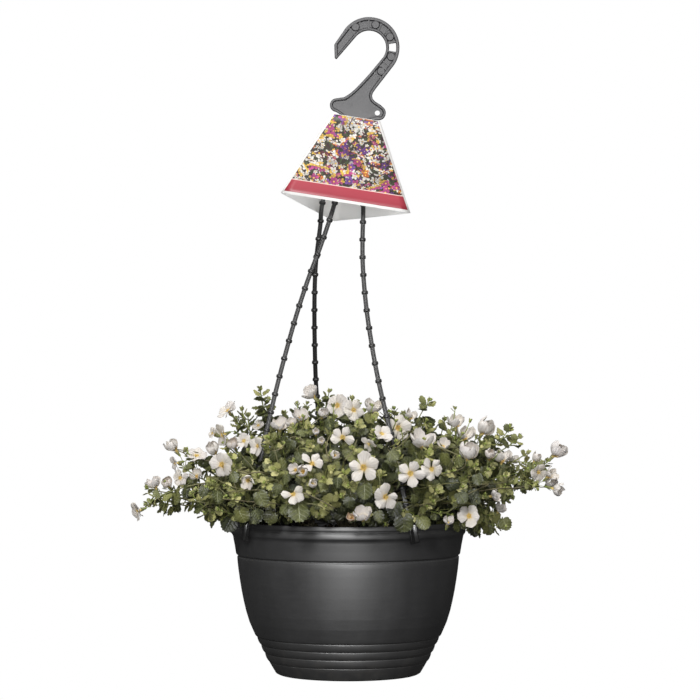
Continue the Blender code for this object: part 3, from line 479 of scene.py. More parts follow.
POT_PLASTIC = plastic("pot_plastic", (0.0205, 0.0205, 0.0212), 0.55, 1.0, 0.10, 0.25, 1.0, 0.8)
STRAND_PLASTIC = plastic("strand_plastic", (0.029, 0.0285, 0.0285), 0.36, 1.0, 0.12, 0.0, 0.36)
CLIP_PLASTIC = plastic("clip_plastic", (0.023, 0.0225, 0.0225), 0.34, 1.0, 0.12, 0.0, 0.75)
HOOK_PLASTIC = plastic("hook_plastic", (0.051, 0.050, 0.053), 0.42, 1.0, 0.20, 0.0, 0.36)
LEAF, PETAL, THROAT, STEM = leaf_material(), petal_material(), throat_material(), stem_material()
COMPOST, PERLITE = compost_material(), grain_material()
CARD_PRINTED, CARD_PLAIN = card_printed(), card_plain()


# ====================================================================== mesh making
class Heap:
    """Many small parts in one mesh. Each part brings corner coordinates in its own unit square, which are kept as the map 'part' and laid in a cell of the bake's map."""

    def __init__(self):
        self.parts = []  # points (N,3), quads (Q,4), quad uv (Q,4,2), tint (N,4) or (4,), material index

    def add(self, points, quads, uv, tint=(0.5, 0.5, 0.0, 1.0), material=0):
        points = np.asarray(points, float)
        tint = np.asarray(tint, float)
        if tint.ndim == 1:
            tint = np.repeat(tint[None], len(points), 0)
        self.parts.append((points, quads, uv, tint, material))

    def build(self, name, materials, slot, replaces=(), sharp=None):
        count = np.array([len(p[0]) for p in self.parts])
        first = np.concatenate([[0], np.cumsum(count)[:-1]])
        points = np.concatenate([p[0] for p in self.parts]) * MM
        quads = np.concatenate([p[1] + f for p, f in zip(self.parts, first)])
        uv = np.concatenate([p[2] for p in self.parts])
        owner = np.concatenate([np.full(len(p[1]), k) for k, p in enumerate(self.parts)])
        indices = np.concatenate([np.full(len(p[1]), p[4]) for p in self.parts])
        tint = np.concatenate([p[3] for p in self.parts])
        grid = math.ceil(math.sqrt(len(self.parts)))
        cell = np.stack([owner % grid, owner // grid], 1)[:, None, :]
        baked = (cell + 0.04 + 0.92 * uv) / grid
        # A quad whose last two corners are one point is a triangle.
        triangle = quads[:, 2] == quads[:, 3]
        sizes = np.where(triangle, 3, 4)
        keep = np.ones(quads.shape, bool)
        keep[:, 3] = ~triangle
        mesh = bpy.data.meshes.new(name)
        mesh.vertices.add(len(points))
        mesh.vertices.foreach_set("co", points.astype(np.float32).ravel())
        mesh.loops.add(int(sizes.sum()))
        mesh.loops.foreach_set("vertex_index", quads[keep].astype(np.int32))
        mesh.polygons.add(len(quads))
        mesh.polygons.foreach_set("loop_start", np.concatenate([[0], np.cumsum(sizes)[:-1]]).astype(np.int32))
        mesh.polygons.foreach_set("loop_total", sizes.astype(np.int32))
        mesh.polygons.foreach_set("material_index", indices.astype(np.int32))
        for title, values in (("part", uv), ("OFBake", baked)):
            layer = mesh.uv_layers.new(name=title)
            layer.data.foreach_set("uv", values[keep].astype(np.float32).ravel())
        mesh.uv_layers["part"].active_render = True
        look = mesh.color_attributes.new("tint", "FLOAT_COLOR", "POINT")
        look.data.foreach_set("color", tint.astype(np.float32).ravel())
        for material in materials:
            mesh.materials.append(material)
        mesh.update(calc_edges=True)
        mesh.validate()
        mesh.shade_smooth()
        if sharp:
            mesh.set_sharp_from_angle(angle=math.radians(sharp))
        return settle(bpy.data.objects.new(name, mesh), replaces, link=True)


def settle(obj, replaces=(), link=False):
    if link:
        scene.collection.objects.link(obj)
    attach(obj, "root")
    if replaces:
        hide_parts(*replaces)
    return obj


def strip_quads(rows, columns, closed=False):
    """Quads of a grid of points laid row by row, with corner coordinates over the unit square."""
    quads, uv = [], []
    around = columns if closed else columns - 1
    for i in range(rows - 1):
        for j in range(around):
            k = (j + 1) % columns
            quads.append((i * columns + j, i * columns + k, (i + 1) * columns + k, (i + 1) * columns + j))
            a, b, c, d = j / around, (j + 1) / around, i / (rows - 1), (i + 1) / (rows - 1)
            uv.append(((a, c), (b, c), (b, d), (a, d)))
    return np.array(quads), np.array(uv, float)


def unit(v):
    return v / max(1e-9, float(np.linalg.norm(v)))


def any_side(n):
    return unit(np.cross(n, (0.0, 0.0, 1.0) if abs(n[2]) < 0.9 else (1.0, 0.0, 0.0)))


def lathe_points(profile, steps):
    angle = np.arange(steps) * math.tau / steps
    r, z = np.array(profile, float).T
    return np.stack([r[:, None] * np.cos(angle), r[:, None] * np.sin(angle), np.repeat(z[:, None], steps, 1)], -1).reshape(-1, 3)


def eased(profile, reach, steps=3):
    """Rounds the corners of an open profile with short curves that start this far from each corner."""
    profile = [np.array(p, float) for p in profile]
    out = [profile[0]]
    for a, b, c in zip(profile, profile[1:], profile[2:]):
        before, after = np.linalg.norm(a - b), np.linalg.norm(c - b)
        cut = min(reach, before * 0.42, after * 0.42)
        p, q = b + (a - b) * cut / before, b + (c - b) * cut / after
        turn = math.acos(max(-1.0, min(1.0, float(np.dot((b - a) / before, (c - b) / after)))))
        count = 1 if turn < 0.06 else steps
        for i in range(count + 1):
            t = i / count if count > 1 else 0.5 * i + 0.25
            out.append(p * (1 - t) ** 2 + b * (2 * t * (1 - t)) + q * t * t)
    out.append(profile[-1])
    return [tuple(p) for p in out]


# ====================================================================== made pieces
def turned_piece(name, profile, steps, material, slot, replaces):
    """A smooth solid of revolution. The profile starts and ends on the axis."""
    inner = profile[1:-1]
    points = lathe_points(inner, steps)
    rows = len(inner)
    quads, uv = strip_quads(rows, steps, closed=True)
    ends = np.array([(0, 0, profile[0][1]), (0, 0, profile[-1][1])], float)
    low, high = rows * steps, rows * steps + 1
    ring = np.arange(steps)
    after = (ring + 1) % steps
    bottom = np.stack([np.full(steps, low), after, ring, ring], 1)
    top = np.stack([np.full(steps, high), ring + (rows - 1) * steps, after + (rows - 1) * steps, after + (rows - 1) * steps], 1)
    heap = Heap()
    heap.add(np.concatenate([points, ends]), np.concatenate([quads, bottom, top]), np.concatenate([uv, np.zeros((2 * steps, 4, 2))]))
    return heap.build(name, [material], slot, replaces, sharp=50)


def simple(name, bm, material):
    """A mesh object in millimetres, for Boolean work."""
    bmesh.ops.recalc_face_normals(bm, faces=bm.faces)
    mesh = bpy.data.meshes.new(name)
    bm.to_mesh(mesh)
    bm.free()
    if material:
        mesh.materials.append(material)
    obj = bpy.data.objects.new(name, mesh)
    scene.collection.objects.link(obj)
    return obj


def applied(obj):
    """Replaces the object's mesh by what its modifiers make."""
    bpy.context.view_layer.update()
    mesh = bpy.data.meshes.new_from_object(obj.evaluated_get(bpy.context.evaluated_depsgraph_get()))
    obj.modifiers.clear()
    obj.data = mesh
    return obj


def cut(obj, cutters, operation="DIFFERENCE"):
    for cutter in cutters:
        modifier = obj.modifiers.new("cut", "BOOLEAN")
        modifier.operation, modifier.object, modifier.solver = operation, cutter, "EXACT"
    applied(obj)
    for cutter in cutters:
        bpy.data.objects.remove(cutter, do_unlink=True)
    return obj


def prism(outline, y0, y1):
    bm = bmesh.new()
    face = bm.faces.new([bm.verts.new((x, y0, z)) for x, z in outline])
    made = bmesh.ops.extrude_face_region(bm, geom=[face])["geom"]
    bmesh.ops.translate(bm, verts=[g for g in made if isinstance(g, bmesh.types.BMVert)], vec=(0, y1 - y0, 0))
    return bm


def outline_offset(outline, distance):
    """The closed outline moved outwards by a distance, with mitred corners."""
    p = np.array(outline, float)
    ahead = np.roll(p, -1, 0) - p
    ahead /= np.linalg.norm(ahead, axis=1)[:, None]
    behind = np.roll(ahead, 1, 0)
    turn = np.sign((p[:, 0] * np.roll(p[:, 1], -1) - np.roll(p[:, 0], -1) * p[:, 1]).sum())
    normals = [np.stack([d[:, 1], -d[:, 0]], 1) * turn for d in (ahead, behind)]
    middle = normals[0] + normals[1]
    middle /= np.linalg.norm(middle, axis=1)[:, None]
    return p + middle * (distance / np.maximum(0.45, (middle * normals[0]).sum(1)))[:, None]


def drafted(outline, y_floor, y_mouth, draft):
    """A prism whose mouth is wider than its floor, for cutting sloped walls."""
    bm = bmesh.new()
    floor_ring = [bm.verts.new((x, y_floor, z)) for x, z in outline_offset(outline, -draft / 2)]
    mouth_ring = [bm.verts.new((x, y_mouth, z)) for x, z in outline_offset(outline, draft / 2)]
    bm.faces.new(floor_ring)
    bm.faces.new(mouth_ring[::-1])
    for k in range(len(outline)):
        j = (k + 1) % len(outline)
        bm.faces.new((floor_ring[k], mouth_ring[k], mouth_ring[j], floor_ring[j]))
    return bm


def cone(low, high, y0, y1, x, z, sides=36):
    """A tapered disc on the hook's web: radius low at y0, high at y1."""
    bm = bmesh.new()
    turn = math.pi / 2 if y1 < y0 else -math.pi / 2
    bmesh.ops.create_cone(bm, cap_ends=True, segments=sides, radius1=low, radius2=high, depth=abs(y1 - y0),
                          matrix=Matrix.Translation((x, (y0 + y1) / 2, z)) @ Matrix.Rotation(turn, 4, "X"))
    return bm


def rod(radius, y0, y1, x, z, sides=32):
    bm = bmesh.new()
    bmesh.ops.create_cone(bm, cap_ends=True, segments=sides, radius1=radius, radius2=radius, depth=y1 - y0,
                          matrix=Matrix.Translation((x, (y0 + y1) / 2, z)) @ Matrix.Rotation(math.pi / 2, 4, "X"))
    return bm


def block(size, matrix):
    bm = bmesh.new()
    bmesh.ops.create_cube(bm, size=1.0, matrix=matrix @ Matrix.Diagonal((*size, 1.0)))
    return bm


def to_metres(obj, sharp=40):
    obj.data.transform(Matrix.Scale(MM, 4))
    obj.data.shade_smooth()
    obj.data.set_sharp_from_angle(angle=math.radians(sharp))


def even_normals(obj):
    """Keeps broad faces flat beside narrow rounded ones."""
    modifier = obj.modifiers.new("normals", "WEIGHTED_NORMAL")
    modifier.weight, modifier.keep_sharp = 100, True
    return applied(obj)


def soften(obj, width, segments=2, angle=32):
    modifier = obj.modifiers.new("edges", "BEVEL")
    modifier.width, modifier.segments, modifier.limit_method = width, segments, "ANGLE"
    modifier.angle_limit = math.radians(angle)
    modifier.harden_normals = False
    modifier.use_clamp_overlap = True
    return applied(obj)


# ---------------------------------------------------------------------- pot
POT_HEIGHT, RIM_RADIUS = 164.0, 125.4


def pot_profile():
    grooves = ((84.3, 13.4), (88.7, 22.7), (92.8, 31.3), (97.1, 40.0))
    outside = [(0, 0), (26, 0), (27.5, 1.2), (58.5, 1.2), (60, 0), (74.6, 0), (77.4, 1.4), (82.0, 9.2), (84.2, 13.0)]
    for (r0, z0), (r1, z1) in zip(grooves, grooves[1:]):
        across, up = r1 - r0, z1 - z0
        outside += [(r0 - 0.35, z0), (r0 + across * 0.05 + 0.10, z0 + up * 0.04), (r0 + across * 0.20 + 0.78, z0 + up * 0.18), (r0 + across * 0.38 + 1.12, z0 + up * 0.38),
                    (r0 + across * 0.58 + 1.02, z0 + up * 0.58), (r0 + across * 0.78 + 0.68, z0 + up * 0.78), (r0 + across * 0.95 + 0.24, z0 + up * 0.94)]
    outside += [(96.7, 40.1), (99.0, 41.3), (101.0, 45.6), (105.5, 56), (108.9, 67), (111.5, 78), (113.7, 89), (115.5, 100), (117.2, 112), (118.1, 120), (118.4, 125.0), (117.6, 125.9), (117.5, 127.0), (119.3, 127.9), (119.7, 128.8)]
    outside += [(121.1, 137.5), (122.5, 144.6), (122.8, 146.6), (123.3, 148.2), (124.2, 149.6), (125.1, 150.6), (125.45, 152.0), (125.5, 154.3), (125.0, 156.2), (124.3, 157.4), (124.0, 158.0), (124.3, 158.6), (124.9, 159.4), (125.0, 161.4), (124.2, POT_HEIGHT)]
    inside = [(122.6, POT_HEIGHT), (121.6, 162.8), (121.5, 153.2), (120.4, 151.8), (120.2, 148), (119.0, 138), (117.0, 126), (115.4, 112), (113.4, 100), (111.4, 89), (109.2, 78), (103.1, 56)]
    inside += [(95.5, 41), (82.1, 13.8), (77.7, 5.6), (74.6, 3.0), (0, 3.0)]
    return outside + inside


pot = turned_piece("hanging_pot", eased(pot_profile(), 0.6, 2), 144, POT_PLASTIC, "pot_plastic", ())
pot.data.transform(Matrix.Scale(1 / MM, 4))
drains = []
for i in range(4):
    a = math.radians(45 + 90 * i)
    bm = bmesh.new()
    bmesh.ops.create_cone(bm, cap_ends=True, segments=32, radius1=3.6, radius2=3.6, depth=12.0, matrix=Matrix.Translation((43.0 * math.cos(a), 43.0 * math.sin(a), 1.0)))
    drains.append(simple(f"drain_{i}", bm, None))
cut(pot, drains)
to_metres(pot, 50)
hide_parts("pot")


# ---------------------------------------------------------------------- compost
def value_noise(seed, size=64):
    table = np.random.default_rng(seed).uniform(-1, 1, (size, size))

    def at(x, y, scale):
        x, y = np.asarray(x) / scale, np.asarray(y) / scale
        i, j = np.floor(x).astype(int), np.floor(y).astype(int)
        fx, fy = x - i, y - j
        fx, fy = fx * fx * (3 - 2 * fx), fy * fy * (3 - 2 * fy)
        t = lambda a, b: table[a % size, b % size]
        return (t(i, j) * (1 - fx) + t(i + 1, j) * fx) * (1 - fy) + (t(i, j + 1) * (1 - fx) + t(i + 1, j + 1) * fx) * fy

    return at


soil_noise = value_noise(11)
steps = 120
fill = [(0, 3.4), (74.2, 3.4), (77.1, 5.9), (81.4, 13.8), (94.7, 41), (102.4, 56), (108.5, 78), (112.7, 100), (116.4, 126), (120.3, 146.0)]
fill += [(r, 148.4 + (1 - (r / 119) ** 2) * 2.6) for r in np.linspace(118.8, 3.0, 44)] + [(0, 151.0)]
inner = fill[1:-1]
points = lathe_points(inner, steps)
top = np.repeat(np.arange(len(inner)) >= 10, steps)
lumps = sum(soil_noise(points[:, 0], points[:, 1], s) * h for s, h in ((9.0, 1.3), (4.3, 0.9), (2.1, 0.6)))
points[top, 2] += np.clip(lumps[top], -2.2, 1.6) - 0.6
quads, uv = strip_quads(len(inner), steps, closed=True)
ring = np.arange(steps)
after = (ring + 1) % steps
last = (len(inner) - 1) * steps
heap = Heap()
heap.add(np.concatenate([points, [(0, 0, 3.4), (0, 0, 150.4)]]),
         np.concatenate([quads, np.stack([np.full(steps, len(points)), after, ring, ring], 1), np.stack([np.full(steps, len(points) + 1), ring + last, after + last, after + last], 1)]),
         np.concatenate([uv, np.zeros((2 * steps, 4, 2))]))
heap.build("compost_fill", [COMPOST], "compost", ("compost",))

ICO = bmesh.new()
bmesh.ops.create_icosphere(ICO, subdivisions=2, radius=1.0)
ICO_POINTS = np.array([v.co[:] for v in ICO.verts])
ICO_FACES = np.array([[v.index for v in f.verts] + [f.verts[-1].index] for f in ICO.faces])
ICO.free()
ICO_UV = np.clip(np.stack([0.5 + 0.5 * ICO_POINTS[ICO_FACES][..., 0], 0.5 + 0.5 * ICO_POINTS[ICO_FACES][..., 2]], -1), 0, 1)

rng = np.random.default_rng(23)
crumbs, pale = Heap(), Heap()
for k in range(230):
    r, a = 117.0 * math.sqrt(rng.random()), rng.random() * math.tau
    white = k % 3 == 0
    size = rng.uniform(0.9, 1.9) if white else rng.uniform(1.1, 3.1)
    shape = ICO_POINTS * (1 + 0.22 * np.sin(ICO_POINTS @ rng.normal(0, 2.6, (3, 1)) + k)) * size * rng.uniform(0.6, 1.2, 3)
    turn = np.array(Matrix.Rotation(rng.random() * 6, 3, Vector(rng.normal(0, 1, 3)).normalized()))
    (pale if white else crumbs).add(shape @ turn.T + (r * math.cos(a), r * math.sin(a), 149.8 + (1 - (r / 119) ** 2) * 2.2), ICO_FACES, ICO_UV)
crumbs.build("bark_crumbs", [COMPOST], "compost")
pale.build("perlite_grains", [PERLITE], "compost")

# ---------------------------------------------------------------------- hook
HOOK_DEPTH, HOOK_WEB, HOOK_FLANGE = 6.0, 1.8, 2.8
BOW_CENTRE = Vector((22.3, 0.0, 668.1))
BOW_INNER, BOW_OUTER = 18.3, 32.5
FOOT_TILT = math.radians(10.5)


def arc(centre, radius, start, end, steps):
    return [(centre.x + radius * math.cos(math.radians(start + (end - start) * i / steps)),
             centre.z + radius * math.sin(math.radians(start + (end - start) * i / steps))) for i in range(steps + 1)]


across = Vector((math.cos(FOOT_TILT), 0, -math.sin(FOOT_TILT)))
down = Vector((-math.sin(FOOT_TILT), 0, -math.cos(FOOT_TILT)))
LEFT_LOBE = BOW_CENTRE + Vector((-34.7, 0, -61.4))
RIGHT_LOBE = BOW_CENTRE + Vector((10.1, 0, -69.8))
foot = (LEFT_LOBE + RIGHT_LOBE) / 2
LUGS = [foot + down * 18.5 + across * (10.6 * k) for k in (-1, 0, 1)]


def rel(*points):
    return [(BOW_CENTRE.x + x, BOW_CENTRE.z + z) for x, z in points]


def tilted(*points):
    return [((foot + across * a + down * d).x, (foot + across * a + down * d).z) for a, d in points]


def cell(start, end, steps):
    inner, outer = BOW_INNER + HOOK_FLANGE, BOW_OUTER - HOOK_FLANGE
    return arc(BOW_CENTRE, outer, start, end, steps) + arc(BOW_CENTRE, inner, end, start, steps)


hook_outline = (
    rel((-34.9, -12.5), (-35.9, -11.8), (-36.7, -10.4), (-37.1, 2.7), (-36.4, 4.2))
    + arc(BOW_CENTRE, BOW_OUTER, 140, -36, 60)
    + rel((7.1, -43.9), (4.2, -48.2), (3.2, -51.4), (4.0, -54.9), (6.4, -57.6), (9.6, -59.6), (12.5, -61.5))
    + arc(RIGHT_LOBE, 7.8, 40, -80, 16)
    + tilted((15.8, 9.5), (15.6, 21.0), (14.9, 22.8), (13.4, 23.6), (-13.4, 23.6), (-14.9, 22.8), (-15.6, 21.0), (-15.8, 9.5))
    + arc(LEFT_LOBE, 7.1, 262, 96, 18)
    + rel((-26.6, -53.0), (-21.0, -49.6), (-15.7, -45.2), (-9.4, -38.8), (-4.0, -33.0), (0.0, -28.6))
    + arc(BOW_CENTRE, BOW_INNER, -43, 141, 48)
)
hook = simple("flat_hook", prism(hook_outline, -HOOK_DEPTH / 2, HOOK_DEPTH / 2), HOOK_PLASTIC)
web = HOOK_WEB / 2
soften(hook, 1.0, 3, 45)
INNER_WALL, OUTER_WALL = BOW_INNER + 2.5, BOW_OUTER - 3.5
channel = (
    rel((-33.9, -8.4), (-33.9, 3.3)) + arc(BOW_CENTRE, OUTER_WALL, 139, -35, 60)
    + rel((4.9, -42.2), (1.7, -47.2), (0.5, -51.4), (1.5, -56.0), (4.5, -59.5), (8.1, -61.9), (10.0, -63.2)) + arc(RIGHT_LOBE, 5.2, 55, -62, 10)
    + tilted((21.0, 4.6), (13.0, 8.6), (12.8, 12.4), (-12.8, 12.4), (-13.0, 8.6), (-22.0, 4.4)) + arc(LEFT_LOBE, 4.5, 262, 96, 12)
    + rel((-25.2, -55.7), (-19.3, -51.9), (-13.8, -47.1), (-7.5, -40.7), (-2.0, -34.8), (2.1, -30.4)) + arc(BOW_CENTRE, INNER_WALL, -43, 140, 56)
)
cut(hook, [simple("c", drafted(channel, side * web, side * 3.4, 1.5), None) for side in (-1, 1)])
# Ribs across the channel stand lower than its walls.
RIB = 2.35
ribs = []


def bow_rib(angle, thick, lean=0.0):
    a = math.radians(angle)
    middle = (INNER_WALL + OUTER_WALL) / 2
    place = Matrix.Translation((BOW_CENTRE.x + middle * math.cos(a), 0, BOW_CENTRE.z + middle * math.sin(a))) @ Matrix.Rotation(-a + lean, 4, "Y")
    return simple("r", block((OUTER_WALL - INNER_WALL + 1.2, 2 * RIB, thick), place), None)


def stem_rib(x, z, thick):
    place = Matrix.Translation((BOW_CENTRE.x + x, 0, BOW_CENTRE.z + z)) @ Matrix.Rotation(math.radians(38), 4, "Y")
    return simple("r", block((11.5, 2 * RIB - 0.02, thick), place), None)


ribs = [bow_rib(137, 1.1, 0.12), bow_rib(110.5, 1.0), bow_rib(90.5, 1.3), bow_rib(61.5, 1.0), bow_rib(43, 1.0), bow_rib(12.6, 1.2), bow_rib(-10.8, 1.2), stem_rib(19.1, -18.1, 1.0), stem_rib(15.9, -22.2, 1.0), stem_rib(9.4, -29.6, 1.1)]
cut(hook, ribs, "UNION")
BOSSES = rel((-14.5, 21.9), (7.0, 24.3), (22.3, 11.3), (23.6, -9.9), (12.9, -25.4))
bosses = [simple("b", cone(4.9, 3.7, side * 0.5, side * 2.6, x, z), None) for x, z in BOSSES for side in (-1, 1)]
dimple = foot + across * -8.2 + down * -3.0
bosses += [simple("b", rod(1.5, -1.35, 1.35, dimple.x, dimple.z, 24), None)]
cut(hook, bosses, "UNION")
cutters = []
cutters.append(simple("c", prism(arc(BOW_CENTRE, OUTER_WALL, 10, -9, 8) + arc(BOW_CENTRE, INNER_WALL + 0.6, -9, 10, 8), -HOOK_DEPTH, HOOK_DEPTH), None))
cutters.append(simple("c", rod(2.7, -HOOK_DEPTH, HOOK_DEPTH, RIGHT_LOBE.x - 1.2, RIGHT_LOBE.z), None))
cutters += [simple("c", rod(2.6, -HOOK_DEPTH, HOOK_DEPTH, lug.x, lug.z), None) for lug in LUGS]
cut(hook, cutters)
to_metres(hook, 30)
even_normals(hook)
settle(hook, ("hook",))


# ---------------------------------------------------------------------- strands
BEAD_SPACING = 19.5
LEFT_ROUTE = ((-13.5, 503.7), (-28.8, 456.4), (-42.7, 418.8), (-55.0, 380.7), (-65.9, 341.4), (-75.8, 302.8), (-84.6, 264.3), (-91.4, 231.0), (-98.0, 196.0))
BACK_ROUTE = ((-26.5, 507.6), (-30.0, 478.3), (-34.7, 439.8), (-36.4, 401.8), (-36.4, 354.0), (-35.1, 307.3), (-31.6, 262.0), (-27.0, 212.0))
RIGHT_ROUTE = ((16.0, 499.3), (15.2, 459.7), (15.7, 430.1), (18.9, 391.7), (24.2, 354.0), (30.8, 317.2), (39.0, 280.7), (48.3, 242.5), (56.0, 202.5), (60.8, 182.1))
STRANDS = (
    ("arm_back", LUGS[0], 1, BACK_ROUTE, math.radians(191), 1.5),
    ("arm_left", LUGS[1], -1, LEFT_ROUTE, math.radians(-57), 1.0),
    ("arm_right", LUGS[2], -1, RIGHT_ROUTE, math.radians(32), 1.0),
)


def smooth_route(points, step):
    points = [np.array(p, float) for p in points]
    ends = [points[0] * 2 - points[1], *points, points[-1] * 2 - points[-2]]
    fine = []
    for a, b, c, d in zip(ends, ends[1:], ends[2:], ends[3:]):
        for i in range(24):
            t = i / 24
            fine.append(0.5 * (2 * b + (c - a) * t + (2 * a - 5 * b + 4 * c - d) * t * t + (3 * b - a - 3 * c + d) * t**3))
    fine = np.array([*fine, points[-1]])
    length = np.concatenate([[0], np.cumsum(np.linalg.norm(np.diff(fine, axis=0), axis=1))])
    count = max(2, round(length[-1] / step))
    want = np.linspace(0, length[-1], count + 1)
    return np.stack([np.interp(want, length, fine[:, k]) for k in range(3)], 1)


def strand_route(lug, facing, route, clip_angle, bow, step):
    tab = facing * (HOOK_DEPTH / 2 + 0.4 + 1.1)
    radial = np.array((math.sin(clip_angle), -math.cos(clip_angle), 0))
    head = np.array(lug + down * 8.2 + Vector((0, tab, 0)))
    seat = radial * 122.6 + np.array((0, 0, POT_HEIGHT + 2.0))
    through = [head, *((x, head[1] + (seat[1] - head[1]) * ((head[2] - z) / (head[2] - seat[2])) ** bow, z) for x, z in route), seat]
    return smooth_route(through, step), head, seat, radial


def frames_along(points, up=(0.0, 1.0, 0.0)):
    tangents = np.gradient(points, axis=0)
    tangents /= np.linalg.norm(tangents, axis=1)[:, None]
    sides, side = [], unit(np.cross(tangents[0], up))
    for t in tangents:
        side = unit(side - t * np.dot(side, t))
        sides.append(side)
    sides = np.array(sides)
    return tangents, sides, np.cross(tangents, sides)


def sweep(points, sides, others, section):
    """Rings of a section (n,2) or one per station (m,n,2), closed at both ends."""
    section = np.asarray(section, float)
    if section.ndim == 2:
        section = np.repeat(section[None], len(points), 0)
    n = section.shape[1]
    rings = points[:, None] + sides[:, None] * section[..., :1] + others[:, None] * section[..., 1:]
    quads, uv = strip_quads(len(points), n, closed=True)
    caps, cap_uv = [], []
    for base, centre, flip in ((0, len(points) * n, True), ((len(points) - 1) * n, len(points) * n + 1, False)):
        for j in range(n):
            k = (j + 1) % n
            a, b = (base + k, base + j) if flip else (base + j, base + k)
            caps.append((centre, a, b, b))
            cap_uv.append(((0, 0),) * 4)
    body = np.concatenate([rings.reshape(-1, 3), rings[:1].mean(1), rings[-1:].mean(1)])
    return body, np.concatenate([quads, caps]), np.concatenate([uv, cap_uv])


RAIL = np.array([(1.95, 1.75), (1.6, 2.2), (1.2, 2.2), (0.85, 1.7), (0.6, 0.7), (-0.6, 0.7), (-0.85, 1.7), (-1.2, 2.2), (-1.6, 2.2), (-1.95, 1.75), (-2.35, 1.0), (-2.35, -1.0),
                 (-1.95, -1.75), (-1.6, -2.2), (-1.2, -2.2), (-0.85, -1.7), (-0.6, -0.7), (0.6, -0.7), (0.85, -1.7), (1.2, -2.2), (1.6, -2.2), (1.95, -1.75), (2.35, -1.0), (2.35, 1.0)])[::-1]
STRAP = np.where(np.abs(RAIL[:, :1]) < 2.3, np.stack([RAIL[:, 0], np.sign(RAIL[:, 1]) * 1.8], 1), RAIL)
BEAD = np.array([(1.0, 0.55), (0.55, 1.0), (-0.55, 1.0), (-1.0, 0.55), (-1.0, -0.55), (-0.55, -1.0), (0.55, -1.0), (1.0, -0.55)])[::-1]
strand_lines = {}
